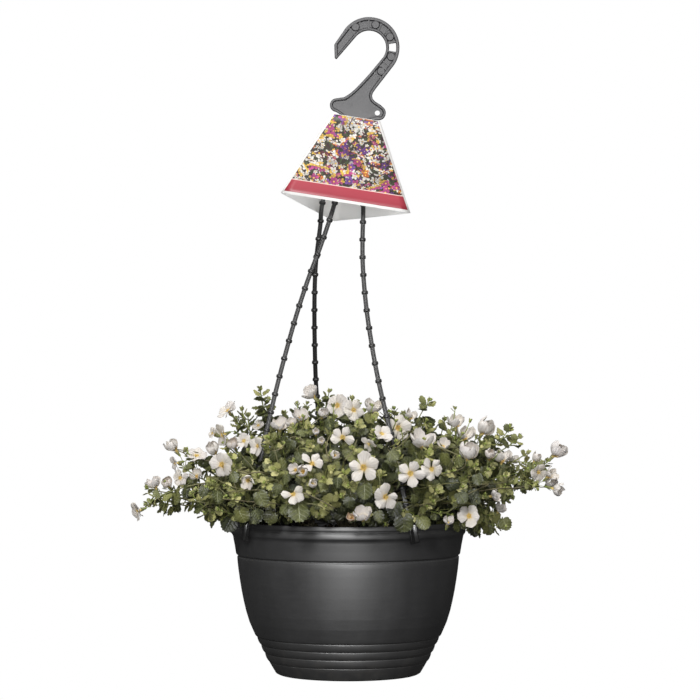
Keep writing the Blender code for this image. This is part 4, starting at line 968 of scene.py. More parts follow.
for name, lug, facing, route, angle, bow in STRANDS:
    line, head, seat, radial = strand_route(lug, facing, route, angle, bow, 5.0)
    strand_lines[name] = line
    heap = Heap()
    tangents, sides, others = frames_along(line)
    strap = np.clip((46.0 - (line[:, 2] - line[-1, 2])) / 10.0, 0, 1)[:, None]
    others = others * (1 - strap) + np.array((-0.11, -0.965, 0.245)) * strap
    others -= tangents * (others * tangents).sum(1)[:, None]
    others /= np.linalg.norm(others, axis=1)[:, None]
    sides = np.cross(others, tangents)
    heap.add(*sweep(line, sides, others, RAIL * (1 - strap[..., None]) + STRAP * strap[..., None]))
    beads = strand_route(lug, facing, route, angle, bow, BEAD_SPACING)[0]
    tangents, bead_sides, bead_others = frames_along(beads)
    for k in range(1, len(beads) - 1):
        lift = np.array((-1.75, -1.45, -0.7, 0.7, 1.45, 1.75))
        grow = np.array((2.5, 3.1, 3.42, 3.42, 3.1, 2.5))
        stations = beads[k] + tangents[k] * lift[:, None]
        section = BEAD[None] * grow[:, None, None] * np.array((1.0, 0.86))
        heap.add(*sweep(stations, np.repeat(bead_sides[k : k + 1], 6, 0), np.repeat(bead_others[k : k + 1], 6, 0), section))
    obj = heap.build(name + "_strand", [STRAND_PLASTIC, CLIP_PLASTIC], None)
    # Peg, neck and rim clip.
    parts = []
    face = HOOK_DEPTH / 2 + 0.4
    peg = eased([(0, face + 2.2), (3.7, face + 2.2), (3.7, face), (2.1, face), (2.1, -face), (3.3, -face), (2.4, -face - 1.5), (0, -face - 1.5)], 0.35, 2)
    bm = bmesh.new()
    verts = [bm.verts.new((r, 0, z)) for r, z in peg]
    edges = [bm.edges.new(pair) for pair in zip(verts, verts[1:])]
    bmesh.ops.spin(bm, geom=verts + edges, axis=(0, 0, 1), cent=(0, 0, 0), angle=math.tau, steps=32, use_merge=True)
    bmesh.ops.remove_doubles(bm, verts=bm.verts, dist=1e-4)
    bm.transform(Matrix.Translation(lug) @ Matrix.Rotation(-facing * math.pi / 2, 4, "X"))
    parts.append(simple("peg", bm, STRAND_PLASTIC))
    tab = facing * (HOOK_DEPTH / 2 + 0.4 + 1.1)
    parts.append(simple("neck", block((4.0, 1.9, 9.6), Matrix.Translation(lug + down * 4.4 + Vector((0, tab, 0))) @ Matrix.Rotation(FOOT_TILT, 4, "Y")), STRAND_PLASTIC))
    soften(parts[-1], 0.4)
    section = [(118.6, 153.0), (118.6, 166.0), (119.4, 166.8), (127.4, 166.8), (128.2, 166.0), (128.2, 146.4), (127.4, 145.6), (124.4, 145.6), (124.4, 148.6), (126.0, 149.2), (126.0, 164.7), (120.5, 164.7), (120.5, 153.0)]
    place = Matrix.Rotation(angle + math.pi, 4, "Z") @ Matrix.Translation((0, 123.5, 158)) @ Matrix.Rotation(math.radians({"arm_left": -11, "arm_right": 11}.get(name, 0)), 4, "Y") @ Matrix.Translation((0, -123.5, -158))
    bm = bmesh.new()
    made = bm.faces.new([bm.verts.new((-5.0, r, z)) for r, z in section])
    made = bmesh.ops.extrude_face_region(bm, geom=[made])["geom"]
    bmesh.ops.translate(bm, verts=[g for g in made if isinstance(g, bmesh.types.BMVert)], vec=(10.0, 0, 0))
    bm.transform(place)
    parts.append(simple("clip", bm, STRAND_PLASTIC))
    soften(parts[-1], 0.35)
    for x, wide in ((-1.6, 3.0), (3.9, 1.0)):
        bm = bmesh.new()
        if wide > 2:
            turn = {"arm_left": 57, "arm_right": -32}.get(name, 0)
            bmesh.ops.create_cube(bm, size=1.0, matrix=place @ Matrix.Translation((x, 127.6, 156.2)) @ Matrix.Rotation(math.radians(turn), 4, "Z") @ Matrix.Diagonal((5.2, 3.4, 18.8, 1.0)))
        else:
            bmesh.ops.create_cone(bm, cap_ends=True, segments=24, radius1=wide, radius2=wide, depth=18.8, matrix=place @ Matrix.Translation((x, 127.9, 156.2)) @ Matrix.Diagonal((1.0, 0.62, 1.0, 1.0)))
        parts.append(simple("rib", bm, STRAND_PLASTIC))
        soften(parts[-1], 0.5, 2, 50)
    obj.data.transform(Matrix.Scale(1 / MM, 4))
    bpy.context.view_layer.update()
    bm = bmesh.new()
    bm.from_mesh(obj.data)
    for part in parts:
        for face in part.data.polygons:
            face.material_index = 1
        bm.from_mesh(part.data)
        bpy.data.objects.remove(part, do_unlink=True)
    bm.to_mesh(obj.data)
    bm.free()
    to_metres(obj, 38)
    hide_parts(name)

# ---------------------------------------------------------------------- card sleeve
CARD = 0.6
TOP_SIDE, BOTTOM_SIDE, CARD_HEIGHT = 52.5, 138.4, 97.7
card_place = (Matrix.Translation((6.6, 0.0, 590.9)) @ Matrix.Rotation(math.radians(5.3), 4, "Z") @ Matrix.Rotation(math.radians(8.6), 4, "Y") @ Matrix.Rotation(math.radians(-6.5), 4, "X"))
SLOPE = (BOTTOM_SIDE - TOP_SIDE) / CARD_HEIGHT
LEAN = math.atan(SLOPE / (2 * math.sqrt(3)))


def card_corners(z, inset):
    side = TOP_SIDE + SLOPE * z - 2 * math.sqrt(3) * inset / math.cos(LEAN)
    reach = side / math.sqrt(3)
    return [np.array((reach * math.cos(a), reach * math.sin(a), -z)) for a in (math.radians(210), math.radians(330), math.radians(90))]


heap = Heap()
ACROSS, DOWN = 15, 13
for p in range(3):
    grids = []
    for inset in (0.0, CARD):
        grid = []
        for i in range(DOWN):
            b = i / (DOWN - 1)
            corners = card_corners(CARD_HEIGHT * b, inset)
            a0, a1 = corners[p], corners[(p + 1) % 3]
            normal = unit(np.array(((a0 + a1) / 2)[:2].tolist() + [0.0]))
            for j in range(ACROSS):
                a = j / (ACROSS - 1)
                bow = 0.9 * math.sin(math.pi * a) * math.sin(math.pi * min(1.0, b * 0.62 + 0.02)) + 0.25 * math.sin(2.3 * math.pi * a + p) * b * math.sin(math.pi * a)
                grid.append(a0 + (a1 - a0) * a + normal * bow)
        grids.append(np.array(grid))
    quads, _ = strip_quads(DOWN, ACROSS)
    length = CARD_HEIGHT / math.cos(LEAN)
    uv = []
    for quad in quads:
        row, column = quad // ACROSS, quad % ACROSS
        side = (TOP_SIDE + SLOPE * CARD_HEIGHT * row / (DOWN - 1)) / 100.0
        uv.append(np.stack([(column / (ACROSS - 1) - 0.5) * side, (1 - row / (DOWN - 1)) * length / 100.0], 1))
    uv = np.array(uv)
    n = len(grids[0])
    # The two skins meet in narrow walls at the top and bottom edges.
    walls = []
    for row in (0, DOWN - 1):
        for j in range(ACROSS - 1):
            a, b = row * ACROSS + j, row * ACROSS + j + 1
            walls.append((a, b, n + b, n + a) if row == 0 else (b, a, n + a, n + b))
    walls = np.array(walls)
    heap.add(np.concatenate(grids), quads[:, ::-1], uv[:, ::-1])
    heap.parts[-1] = (heap.parts[-1][0], quads[:, ::-1], uv[:, ::-1], heap.parts[-1][3], 0)
    heap.add(np.concatenate(grids), np.concatenate([quads + n, walls]), np.concatenate([uv, np.zeros((len(walls), 4, 2))]), material=1)
sleeve_points = np.concatenate([p[0] for p in heap.parts])
# The folded top: a flap with the slot that the hook's tongue passes through.
outer = card_corners(0.3, 0.30)
slot_place = card_place.inverted() @ Matrix.Translation(foot + down * 6.0) @ Matrix.Rotation(FOOT_TILT, 4, "Y")
slot_corners = []
for x, y in ((-16.3, -4.1), (16.3, -4.1), (16.3, 4.1), (-16.3, 4.1)):
    a, b = slot_place @ Vector((x, y, 20.0)), slot_place @ Vector((x, y, -20.0))
    t = (a.z + 0.3) / (a.z - b.z)
    hit = a.lerp(b, t)
    slot_corners.append(np.array((hit.x, hit.y, -0.3)))
loops = [[Vector(c) for c in outer], [Vector(c) for c in slot_corners]]
triangles = tessellate_polygon(loops)
flat = np.array([*outer, *slot_corners])
up_points, low_points = flat + (0, 0, 0.27), flat - (0, 0, 0.27)
flap = np.array([(a, b, c, c) for a, b, c in triangles])
normal = np.cross(flat[flap[0][1]] - flat[flap[0][0]], flat[flap[0][2]] - flat[flap[0][0]])
if normal[2] < 0:
    flap = np.stack([flap[:, 0], flap[:, 2], flap[:, 1], flap[:, 1]], 1)
low_flap = np.stack([flap[:, 0], flap[:, 2], flap[:, 1], flap[:, 1]], 1) + 7
edge = []
for ring_ids in ((0, 1, 2), (6, 5, 4, 3)):
    for a, b in zip(ring_ids, (*ring_ids[1:], ring_ids[0])):
        edge.append((a, a + 7, b + 7, b))
heap.add(np.concatenate([up_points, low_points]), np.concatenate([flap, low_flap, edge]), np.zeros((len(flap) * 2 + len(edge), 4, 2)), material=1)
label = heap.build("card_sleeve", [CARD_PRINTED, CARD_PLAIN], "card", ("label_card",), sharp=25)
lit_from_below = bpy.data.collections.new("lit_from_below")
lit_from_below.objects.link(label)
bounce.light_linking.receiver_collection = lit_from_below
bm = bmesh.new()
bm.from_mesh(label.data)
bmesh.ops.remove_doubles(bm, verts=bm.verts, dist=1e-7)
bmesh.ops.recalc_face_normals(bm, faces=bm.faces)
bm.to_mesh(label.data)
bm.free()
label.data.transform(Matrix.Scale(MM, 4) @ card_place @ Matrix.Scale(1 / MM, 4))


# ====================================================================== plant templates
def leaf_template(margin, midrib, fractions):
    """A toothed blade of unit length in the plane z = 0, with its stalk at the origin and its tip at y = 1, closed by a plainer back skin that meets the front at the margin. Returns points, how far each is off the margin (0 at it), side (+1 front, -1 back), quads and corner coordinates: the front lies in u 0 to 0.5 and the back in 0.5 to 1."""
    last = len(margin) - 1
    points, off, side, quilt, index = [], [], [], [], {}

    def point(row, s, back):
        """A blade point: s runs from -1 at the left margin to 1 at the right one. The skins share the margin and both ends."""
        if row in (0, last):
            s, back = 0.0, False
        shared = abs(s) == 1.0 or row in (0, last)
        key = (row, s, back and not shared)
        if key not in index:
            (x, y), m, f = margin[row], midrib[row], abs(s)
            index[key] = len(points)
            points.append((x * s, m + (y - m) * f**1.15, 0.0))
            off.append(0.0 if shared else 1.0 - f)
            side.append(0.0 if shared else -1.0 if back else 1.0)
            # Rows that end on a tooth lie on a side vein, and those between bulge.
            quilt.append(0.0 if shared or s == 0.0 else 0.5 if row % 2 == 0 else -0.35)
        return index[key]

    quads, uv = [], []
    spread = 0.24 / max(x for x, _ in margin)
    share = [-f for f in fractions[::-1]] + list(fractions[1:])
    for back, steps in ((False, share), (True, [-1.0, 0.0, 1.0])):
        for row in range(last):
            for a, b in zip(steps, steps[1:]):
                ids = [point(row, a, back), point(row, b, back), point(row + 1, b, back), point(row + 1, a, back)]
                ids = list(dict.fromkeys(ids[::-1] if back else ids))
                if len(ids) < 3:
                    continue
                ids += [ids[-1]] * (4 - len(ids))
                quads.append(ids)
                uv.append([(0.25 + points[k][0] * spread + (0.5 if back else 0.0), 0.03 + 0.94 * min(1.0, max(0.0, (points[k][1] + 0.06) / 1.06))) for k in ids])
    return dict(points=np.array(points), off=np.array(off), side=np.array(side), quilt=np.array(quilt), quads=np.array(quads), uv=np.array(uv))


BIG_LEAF = leaf_template(
    [(0, 0), (0.16, -0.10), (0.36, -0.07), (0.47, 0.03), (0.455, 0.13), (0.575, 0.24), (0.515, 0.33), (0.60, 0.47), (0.515, 0.54), (0.545, 0.69), (0.42, 0.73), (0.40, 0.86), (0.26, 0.87), (0.20, 0.98), (0.09, 0.955), (0, 1.0)],
    [0, 0.005, 0.02, 0.05, 0.10, 0.17, 0.25, 0.34, 0.43, 0.52, 0.62, 0.72, 0.81, 0.90, 0.95, 1.0], (0.0, 0.52, 1.0))
MID_LEAF = leaf_template(
    [(0, 0), (0.25, -0.06), (0.46, 0.08), (0.43, 0.21), (0.56, 0.40), (0.46, 0.51), (0.47, 0.71), (0.31, 0.76), (0.20, 0.95), (0, 1.0)],
    [0, 0.03, 0.09, 0.18, 0.29, 0.41, 0.54, 0.68, 0.84, 1.0], (0.0, 0.55, 1.0))
SMALL_LEAF = leaf_template([(0, 0), (0.22, 0.08), (0.36, 0.34), (0.31, 0.52), (0.30, 0.70), (0.12, 0.90), (0, 1.0)], [0, 0.08, 0.24, 0.44, 0.62, 0.84, 1.0], (0.0, 1.0))


def leaf_shape(template, base, out, normal, length, wide, fold, arch, twist, thick, ripple=0.0, phase=0.0):
    """Bends a blade: fold lifts its halves, arch droops its tip, twist turns it along its length."""
    p = template["points"].copy()
    x, y = p[:, 0] * wide, p[:, 1]
    z = fold * np.abs(x) * (1.0 - 0.45 * np.abs(x) / 0.45) - 0.55 * x * x * (1 if fold < 0.25 else 0.4) + 0.10 * template["quilt"] + template["side"] * template["off"] * thick
    z = z + ripple * np.sin(9.0 * y + phase) * (x / 0.45) ** 2 * np.sign(x)
    turn = twist * (y - 0.2)
    x, z = x * np.cos(turn) - z * np.sin(turn), x * np.sin(turn) + z * np.cos(turn)
    bend = arch * y
    forward, lift = np.where(abs(arch) > 1e-3, np.sin(bend) / (arch if abs(arch) > 1e-3 else 1.0), y), np.where(abs(arch) > 1e-3, -(1 - np.cos(bend)) / (arch if abs(arch) > 1e-3 else 1.0), 0.0)
    forward, lift = forward + z * np.sin(bend), lift + z * np.cos(bend)
    side = np.cross(out, normal)
    return base + (side * x[:, None] + out * forward[:, None] + normal * lift[:, None]) * length


def tube(points, radii, sides=5):
    _, u, v = frames_along(np.asarray(points, float), (0.3, 0.5, 0.81))
    a = (np.arange(sides) + 0.5) * math.tau / sides
    ring = np.stack([np.cos(a), np.sin(a)], 1)
    return sweep(np.asarray(points, float), u, v, ring[None] * np.asarray(radii, float)[:, None, None])


# ---------------------------------------------------------------------- flowers
def petal_grid(nu, nv):
    quads, uv = strip_quads(nv, nu)
    n = nu * nv
    u = np.tile(np.linspace(-1, 1, nu), nv)
    v = np.repeat(np.linspace(0, 1, nv) ** 0.9, nu)
    edge = (np.abs(u) > 0.999) | (v > 0.999)
    back = np.arange(n) + n
    back[edge] = np.arange(n)[edge]
    closing = np.stack([np.arange(nu - 1), back[: nu - 1], back[1:nu], np.arange(1, nu)], 1)
    all_quads = np.concatenate([quads, back[quads][:, ::-1], closing])
    front_uv = np.stack([0.02 + 0.46 * uv[..., 0], uv[..., 1]], -1)
    back_uv = front_uv[:, ::-1] + (0.5, 0.0)
    corner = np.concatenate([front_uv, back_uv, np.full((nu - 1, 4, 2), 0.01)])
    used, compact = np.unique(all_quads, return_inverse=True)
    lookup = compact.reshape(all_quads.shape)
    # A closing quad at the ends has two corners in one point.
    fixed = []
    for q in lookup:
        ids = list(dict.fromkeys(q.tolist()))
        fixed.append(ids if len(ids) == 4 else ids + [ids[-1]])
    return dict(u=np.concatenate([u, u])[used], v=np.concatenate([v, v])[used], back=(used >= n), quads=np.array(fixed), uv=corner, edge=np.concatenate([edge, edge])[used])


PETAL_FINE, PETAL_COARSE = petal_grid(9, 8), petal_grid(7, 6)
HALF_WIDTH = ((0.0, 0.14), (0.10, 0.20), (0.28, 0.32), (0.50, 0.43), (0.72, 0.480), (0.88, 0.440), (1.0, 0.31))


def flower_parts(rng, centre, facing, diameter, angles=(1.25, 1.62), petals=5, width=0.92, roll=None, missing=(), fine=True, blush=0.4, ripe=0.0, bend_each=0.12, notch=0.05):
    """Lobes, throat tube, anthers, calyx and the point where the flower stalk starts. angles are the lobe's lean from the flower's axis at its foot and at its tip, in radians: over pi/2 leans back."""
    n = unit(np.asarray(facing, float))
    e1 = any_side(n)
    e2 = np.cross(n, e1)
    roll = rng.uniform(0, math.tau) if roll is None else roll
    radius = diameter / 2
    mouth = 0.052 * diameter
    grid = PETAL_FINE if fine else PETAL_COARSE
    lobes, throat, green = [], [], []
    steps = np.linspace(0, 1, 25)
    open_share = min(1.0, max(0.0, (angles[1] - 0.2) / 1.2))
    for k in range(petals):
        if k in missing:
            continue
        a = roll + math.tau * k / petals + rng.normal(0, 0.14)
        lean0, lean1 = angles[0] + rng.normal(0, bend_each * 0.6), angles[1] + rng.normal(0, bend_each)
        lean = lean0 + (lean1 - lean0) * steps**1.2
        length = (radius - mouth) * rng.uniform(0.84, 1.08)
        r_line = mouth + np.concatenate([[0], np.cumsum((np.sin(lean[1:]) + np.sin(lean[:-1])) / 2)]) * length / 24
        z_line = np.concatenate([[0], np.cumsum((np.cos(lean[1:]) + np.cos(lean[:-1])) / 2)]) * length / 24
        u, v = grid["u"], grid["v"]
        at, half = zip(*HALF_WIDTH)
        w = np.interp(v, at, half) * radius * width * rng.uniform(0.84, 1.10)
        s = np.clip(v * (1 - 0.20 * u * u * v) - notch * np.exp(-((u / 0.22) ** 2)) * v**6 + 0.02 * np.sin(5.0 * u + k * 2.1) * v**3, 0, 1)
        r, z, slope = np.interp(s, steps, r_line), np.interp(s, steps, z_line), np.interp(s, steps, lean)
        x = w * u
        # Lobes of a closed flower wrap round its axis.
        wrap = (1.0 - open_share) * 0.90
        phi = wrap * x / np.maximum(r + 0.16 * radius * (1 - open_share), 1.2)
        straight = x * (1 - wrap)
        cupped = -0.16 * radius * open_share * (u * u) * np.minimum(1.0, v * 1.6) * rng.uniform(0.3, 1.3)
        ruffle = radius * 0.034 * np.sin(3.3 * u + 2.4 * k + roll) * v * v + radius * 0.012 * np.sin(9.0 * v + k)
        lapped = 0.075 * radius * u
        off = cupped + ruffle + lapped
        off = np.where(grid["back"], off - 0.28, off)
        # The lobe's own directions at each point: out along it, and off its face.
        radial = np.stack([np.cos(a + phi), np.sin(a + phi)], 1)
        tangent = np.stack([-np.sin(a + phi), np.cos(a + phi)], 1)
        face_r, face_z = -np.cos(slope), np.sin(slope)
        flat = radial * (r + off * face_r)[:, None] + tangent * straight[:, None]
        up = z + off * face_z
        lobes.append((centre + e1 * flat[:, :1] + e2 * flat[:, 1:] + n * up[:, None], grid["quads"], grid["uv"]))
    # Throat: a funnel inside, a tube outside.
    sides = 12 if fine else 8
    profile = [(mouth * 1.20, 0.05), (mouth * 1.06, -1.0), (1.25, -3.4), (0.95, -6.9), (0.9, -8.2)]
    inner = [(mouth * 1.10, 0.30), (mouth * 0.78, -0.7), (mouth * 0.46, -2.6), (0.12, -3.8)]
    line = [*profile[::-1], *inner]
    ring = lathe_points(line, sides)
    body = centre + e1 * ring[:, :1] + e2 * ring[:, 1:2] + n * ring[:, 2:]
    quads, uv = strip_quads(len(line), sides, closed=True)
    base, cap = len(body), []
    body = np.concatenate([body, [centre + n * line[0][1], centre + n * line[-1][1]]])
    for j in range(sides):
        k = (j + 1) % sides
        cap.append((base, k, j, j))
        cap.append((base + 1, (len(line) - 1) * sides + j, (len(line) - 1) * sides + k, (len(line) - 1) * sides + k))
    uv = uv.copy()
    level = np.array([1.0, 0.85, 0.62, 0.75, 0.95, 0.9, 0.6, 0.3, 0.05])[::1]
    order = np.array([0.55, 0.62, 0.78, 0.9, 1.0, 0.92, 0.55, 0.25, 0.0])
    rows = len(line)
    uv[..., 1] = np.interp(uv[..., 1] * (rows - 1), np.arange(rows), order)
    throat.append((body, np.concatenate([quads, cap]), np.concatenate([uv, np.zeros((len(cap), 4, 2))])))
    if angles[1] > 0.7:
        for k in range(4):
            a = roll + 0.5 + k * math.tau / 4
            spot = centre + (e1 * math.cos(a) + e2 * math.sin(a)) * mouth * 0.48 + n * rng.uniform(-0.35, 0.35)
            throat.append((ICO_LOW * (0.62, 0.62, 0.62) + spot, ICO_LOW_FACES, np.full((len(ICO_LOW_FACES), 4, 2), (0.5, 0.72))))
    # Calyx of five narrow sepals round the tube's foot.
    for k in range(5):
        a = roll + math.tau * (k + 0.5) / 5
        radial = e1 * math.cos(a) + e2 * math.sin(a)
        base_point = centre + radial * 0.9 - n * 8.3
        out = unit(n + radial * rng.uniform(0.22, 0.45))
        green.append((base_point, out, radial, rng.uniform(6.0, 7.6), 0.50))
    cup = lathe_points([(0.55, -10.2), (1.25, -9.2), (1.45, -8.0), (1.1, -7.2)], 6)
    knob, knob_uv = strip_quads(4, 6, closed=True)
    green_body = (centre + e1 * cup[:, :1] + e2 * cup[:, 1:2] + n * cup[:, 2:], knob, knob_uv)
    return lobes, throat, green, green_body, centre - n * 9.6


low = bmesh.new()
bmesh.ops.create_icosphere(low, subdivisions=1, radius=1.0)
ICO_LOW = np.array([v.co[:] for v in low.verts])
ICO_LOW_FACES = np.array([[v.index for v in f.verts] + [f.verts[-1].index] for f in low.faces])
low.free()

# ====================================================================== the mound
# Radius of the leafy mass to the left, to the right and in depth, at heights above the pot's foot.
DOME_Z = np.array((150, 165, 180, 195, 210, 225, 240, 255, 270, 283, 292), float)
DOME_LEFT = np.array((112, 136, 166, 172, 160, 142, 120, 100, 78, 44, 0), float)
DOME_RIGHT = np.array((112, 146, 162, 160, 168, 172, 160, 128, 84, 44, 0), float)
DOME_DEEP = np.array((112, 134, 154, 166, 170, 162, 146, 122, 90, 48, 0), float)


def dome_radius(x, y, z):
    """The mass's radius towards (x, y), at height z."""
    wide = np.interp(z, DOME_Z, DOME_LEFT) if x < 0 else np.interp(z, DOME_Z, DOME_RIGHT)
    deep = np.interp(z, DOME_Z, DOME_DEEP)
    r = math.hypot(x, y)
    if r < 1e-6:
        return wide
    c, s = x / r, y / r
    return 1.0 / math.sqrt((c / max(wide, 1e-3)) ** 2 + (s / max(deep, 1e-3)) ** 2)


def inside_dome(p, grow=0.0):
    if p[2] > 292 + grow or p[2] < 140:
        return False
    return math.hypot(p[0], p[1]) < dome_radius(p[0], p[1], min(291.0, p[2] - max(0.0, grow) * 0.5)) + grow


def dome_normal(p):
    r = max(1.0, math.hypot(p[0], p[1]))
    e = 6.0
    slope = (dome_radius(p[0], p[1], p[2] + e) - dome_radius(p[0], p[1], p[2] - e)) / (2 * e)
    slope = max(-4.0, min(1.2, slope))
    return unit(np.array((p[0] / r, p[1] / r, -slope)))


def on_front(px, py, lift=0.0):
    """Where this pixel's ray first meets the mass, grown by lift, or the depth that passes nearest to it."""
    best, best_gap = 0.0, 1e9
    for y in np.arange(-212.0, 60.0, 2.0):
        p = at_pixel(px, py, y)
        gap = math.hypot(p[0], p[1]) - dome_radius(p[0], p[1], min(291.0, max(150.0, p[2]))) - lift
        if p[2] > 291:
            gap = max(gap, p[2] - 291 + abs(y) * 0.2)
        if gap <= 0:
            return p
        if gap < best_gap - 0.3:
            best, best_gap = y, gap
    return at_pixel(px, py, best)


# Flowers as they stand in the picture: pixel of the face's middle, width in pixels, way it faces (right, towards the viewer, up), kind, and how far in front of the mass.
OPEN, SIDE, CUP, SHY, BUD, FLARE = (1.30, 1.60), (1.10, 1.32), (1.30, -0.30), (1.20, -0.65), (1.15, -0.95), (1.45, 1.95)
CATALOGUE = (
    (138, 511, 23, (-0.85, 0.42, -0.30), SIDE, 0), (153, 481, 16, (-0.35, 0.10, 0.92), CUP, 0), (167, 483, 10, (-0.3, 0.6, 0.6), BUD, 4, 0.2), (172, 445.5, 12, (-0.55, 0.3, 0.75), BUD, 0),
    (175.5, 463.5, 16, (-0.85, 0.35, -0.2), SIDE, 0), (180, 478, 18, (0.3, 0.92, 0.15), OPEN, 6), (195, 474, 12, (-0.25, 0.7, 0.55), CUP, 0), (196.5, 456, 23, (0.05, 0.50, 0.86), SIDE, 0),
    (212.5, 433.5, 12, (-0.75, 0.5, 0.3), SIDE, 0), (212.5, 449, 12, (-0.4, 0.5, 0.75), BUD, 0), (222, 464.5, 29, (-0.55, 0.83, 0.0), OPEN, 12, 0.0, (), 0.0, 1.12),
    (223, 435, 24, (-0.75, 0.5, -0.3), SIDE, 0), (228, 411, 25, (-0.60, 0.35, 0.65), SIDE, 0), (233, 443.5, 10, (-0.3, 0.6, 0.7), BUD, 2, 0.2), (244, 441, 17, (-0.3, 0.8, 0.3), SIDE, 4),
    (247, 482, 13, (-0.15, 0.92, -0.3), CUP, 8), (258.5, 425.5, 14, (-0.3, 0.7, 0.6), SIDE, 2), (258, 446, 20, (-0.7, 0.66, 0.05), SIDE, 6), (279.5, 423, 16, (0.0, 0.40, 0.90), CUP, 4),
    (291, 421.5, 11, (0.2, 0.5, 0.8), CUP, 0), (300.5, 414, 14, (0.0, 0.5, 0.8), CUP, 2), (309.5, 391, 17, (-0.55, 0.20, 0.75), CUP, 0), (323.5, 413, 10, (0.2, 0.6, 0.6), BUD, 2),
    (337.5, 405.5, 25, (-0.35, 0.92, 0.12), OPEN, 4, 0.0, (), 0.3, 1.1), (342.5, 437.5, 27, (0.05, 1.0, 0.08), OPEN, 14, 0.0, (2,), -0.9, 0.80), (353.5, 410, 25, (0.45, 0.85, 0.25), OPEN, 4),
    (374, 404.5, 19, (0.1, 0.35, 0.93), CUP, 0), (369, 444, 19, (-0.5, 0.6, -0.5), OPEN, 10, 0.0, (), 0.4, 0.72), (381.5, 434, 22, (0.3, 0.6, 0.65), SIDE, -4), (398, 428, 28, (0.05, 1.0, 0.1), OPEN, -26, 0.0, (), -0.5, 0.92),
    (411.5, 413.7, 12, (0.3, 0.4, 0.85), CUP, 2), (422.5, 436.5, 24, (0.05, 0.30, 0.95), CUP, 6), (363.5, 467.5, 34, (-0.04, 1.0, 0.05), OPEN, 24, 0.0, (), -1.43, 0.80),
    (410.3, 473.5, 30, (0.06, 1.0, 0.1), OPEN, 22, 0.0, (), -0.66, 0.80), (431.5, 469, 28, (0.55, 0.82, 0.12), OPEN, 16, 0.0, (), 0.2, 0.85), (385.5, 497, 29, (0.3, 0.92, -0.15), OPEN, 22, 0.0, (), 0.9, 0.84),
    (362, 512.5, 18, (-0.1, 0.62, 0.78), CUP, 16), (293.5, 469, 11, (-0.45, 0.82, 0.25), CUP, 10), (312, 464, 27, (0.25, 0.80, 0.50), OPEN, 14, 0.0, (1,), 0.6, 0.85), (302.5, 471, 10, (-0.2, 0.9, 0.2), BUD, 12),
    (293, 494, 26, (0.38, 0.8, 0.35), OPEN, 16, 0.0, (3,), 1.2, 0.82), (321, 441, 7, (0.0, 0.8, 0.5), BUD, 6), (316, 431.5, 6, (0.0, 0.8, 0.5), BUD, 6), (335, 455, 8, (0.2, 0.8, 0.3), BUD, 4),
    (313, 483.5, 8, (0.2, 0.8, 0.3), BUD, 10), (443.5, 443.5, 12, (0.1, 0.65, 0.7), CUP, 6), (448.8, 520, 10, (0.2, 0.6, 0.75), CUP, 10), (456, 420, 16, (0.0, 0.25, 0.95), CUP, 0),
    (466, 432, 18, (0.25, 0.45, 0.85), CUP, 4), (469, 516, 25, (0.2, 0.92, 0.3), OPEN, 14), (468.5, 452, 16, (0.1, 0.4, 0.9), BUD, 4), (486, 427, 17, (0.45, 0.35, 0.80), BUD, 0),
    (490, 454, 10, (0.1, 0.6, 0.7), BUD, 0, 0.15), (502, 454, 18, (0.05, 0.3, 0.95), CUP, 0), (514, 457, 13, (0.6, 0.3, 0.7), CUP, 0), (497, 495, 12, (0.9, 0.3, 0.25), CUP, 4),
    (501.5, 507, 12, (0.5, 0.35, 0.78), CUP, 4), (536.6, 458, 9, (0.5, 0.3, 0.8), BUD, 0, 0.1), (538.5, 472, 19, (0.35, 0.80, -0.30), SIDE, 0), (553, 473, 14, (0.6, 0.5, 0.55), CUP, 0),
    (551, 482, 11, (0.3, 0.6, 0.3), BUD, 0), (558.3, 490, 12, (0.8, 0.4, -0.2), SHY, 0), (558, 450.5, 15, (0.6, 0.3, 0.72), BUD, 0), (351, 517, 8, (-0.2, 0.7, 0.3), SHY, 12, 0.85),
)
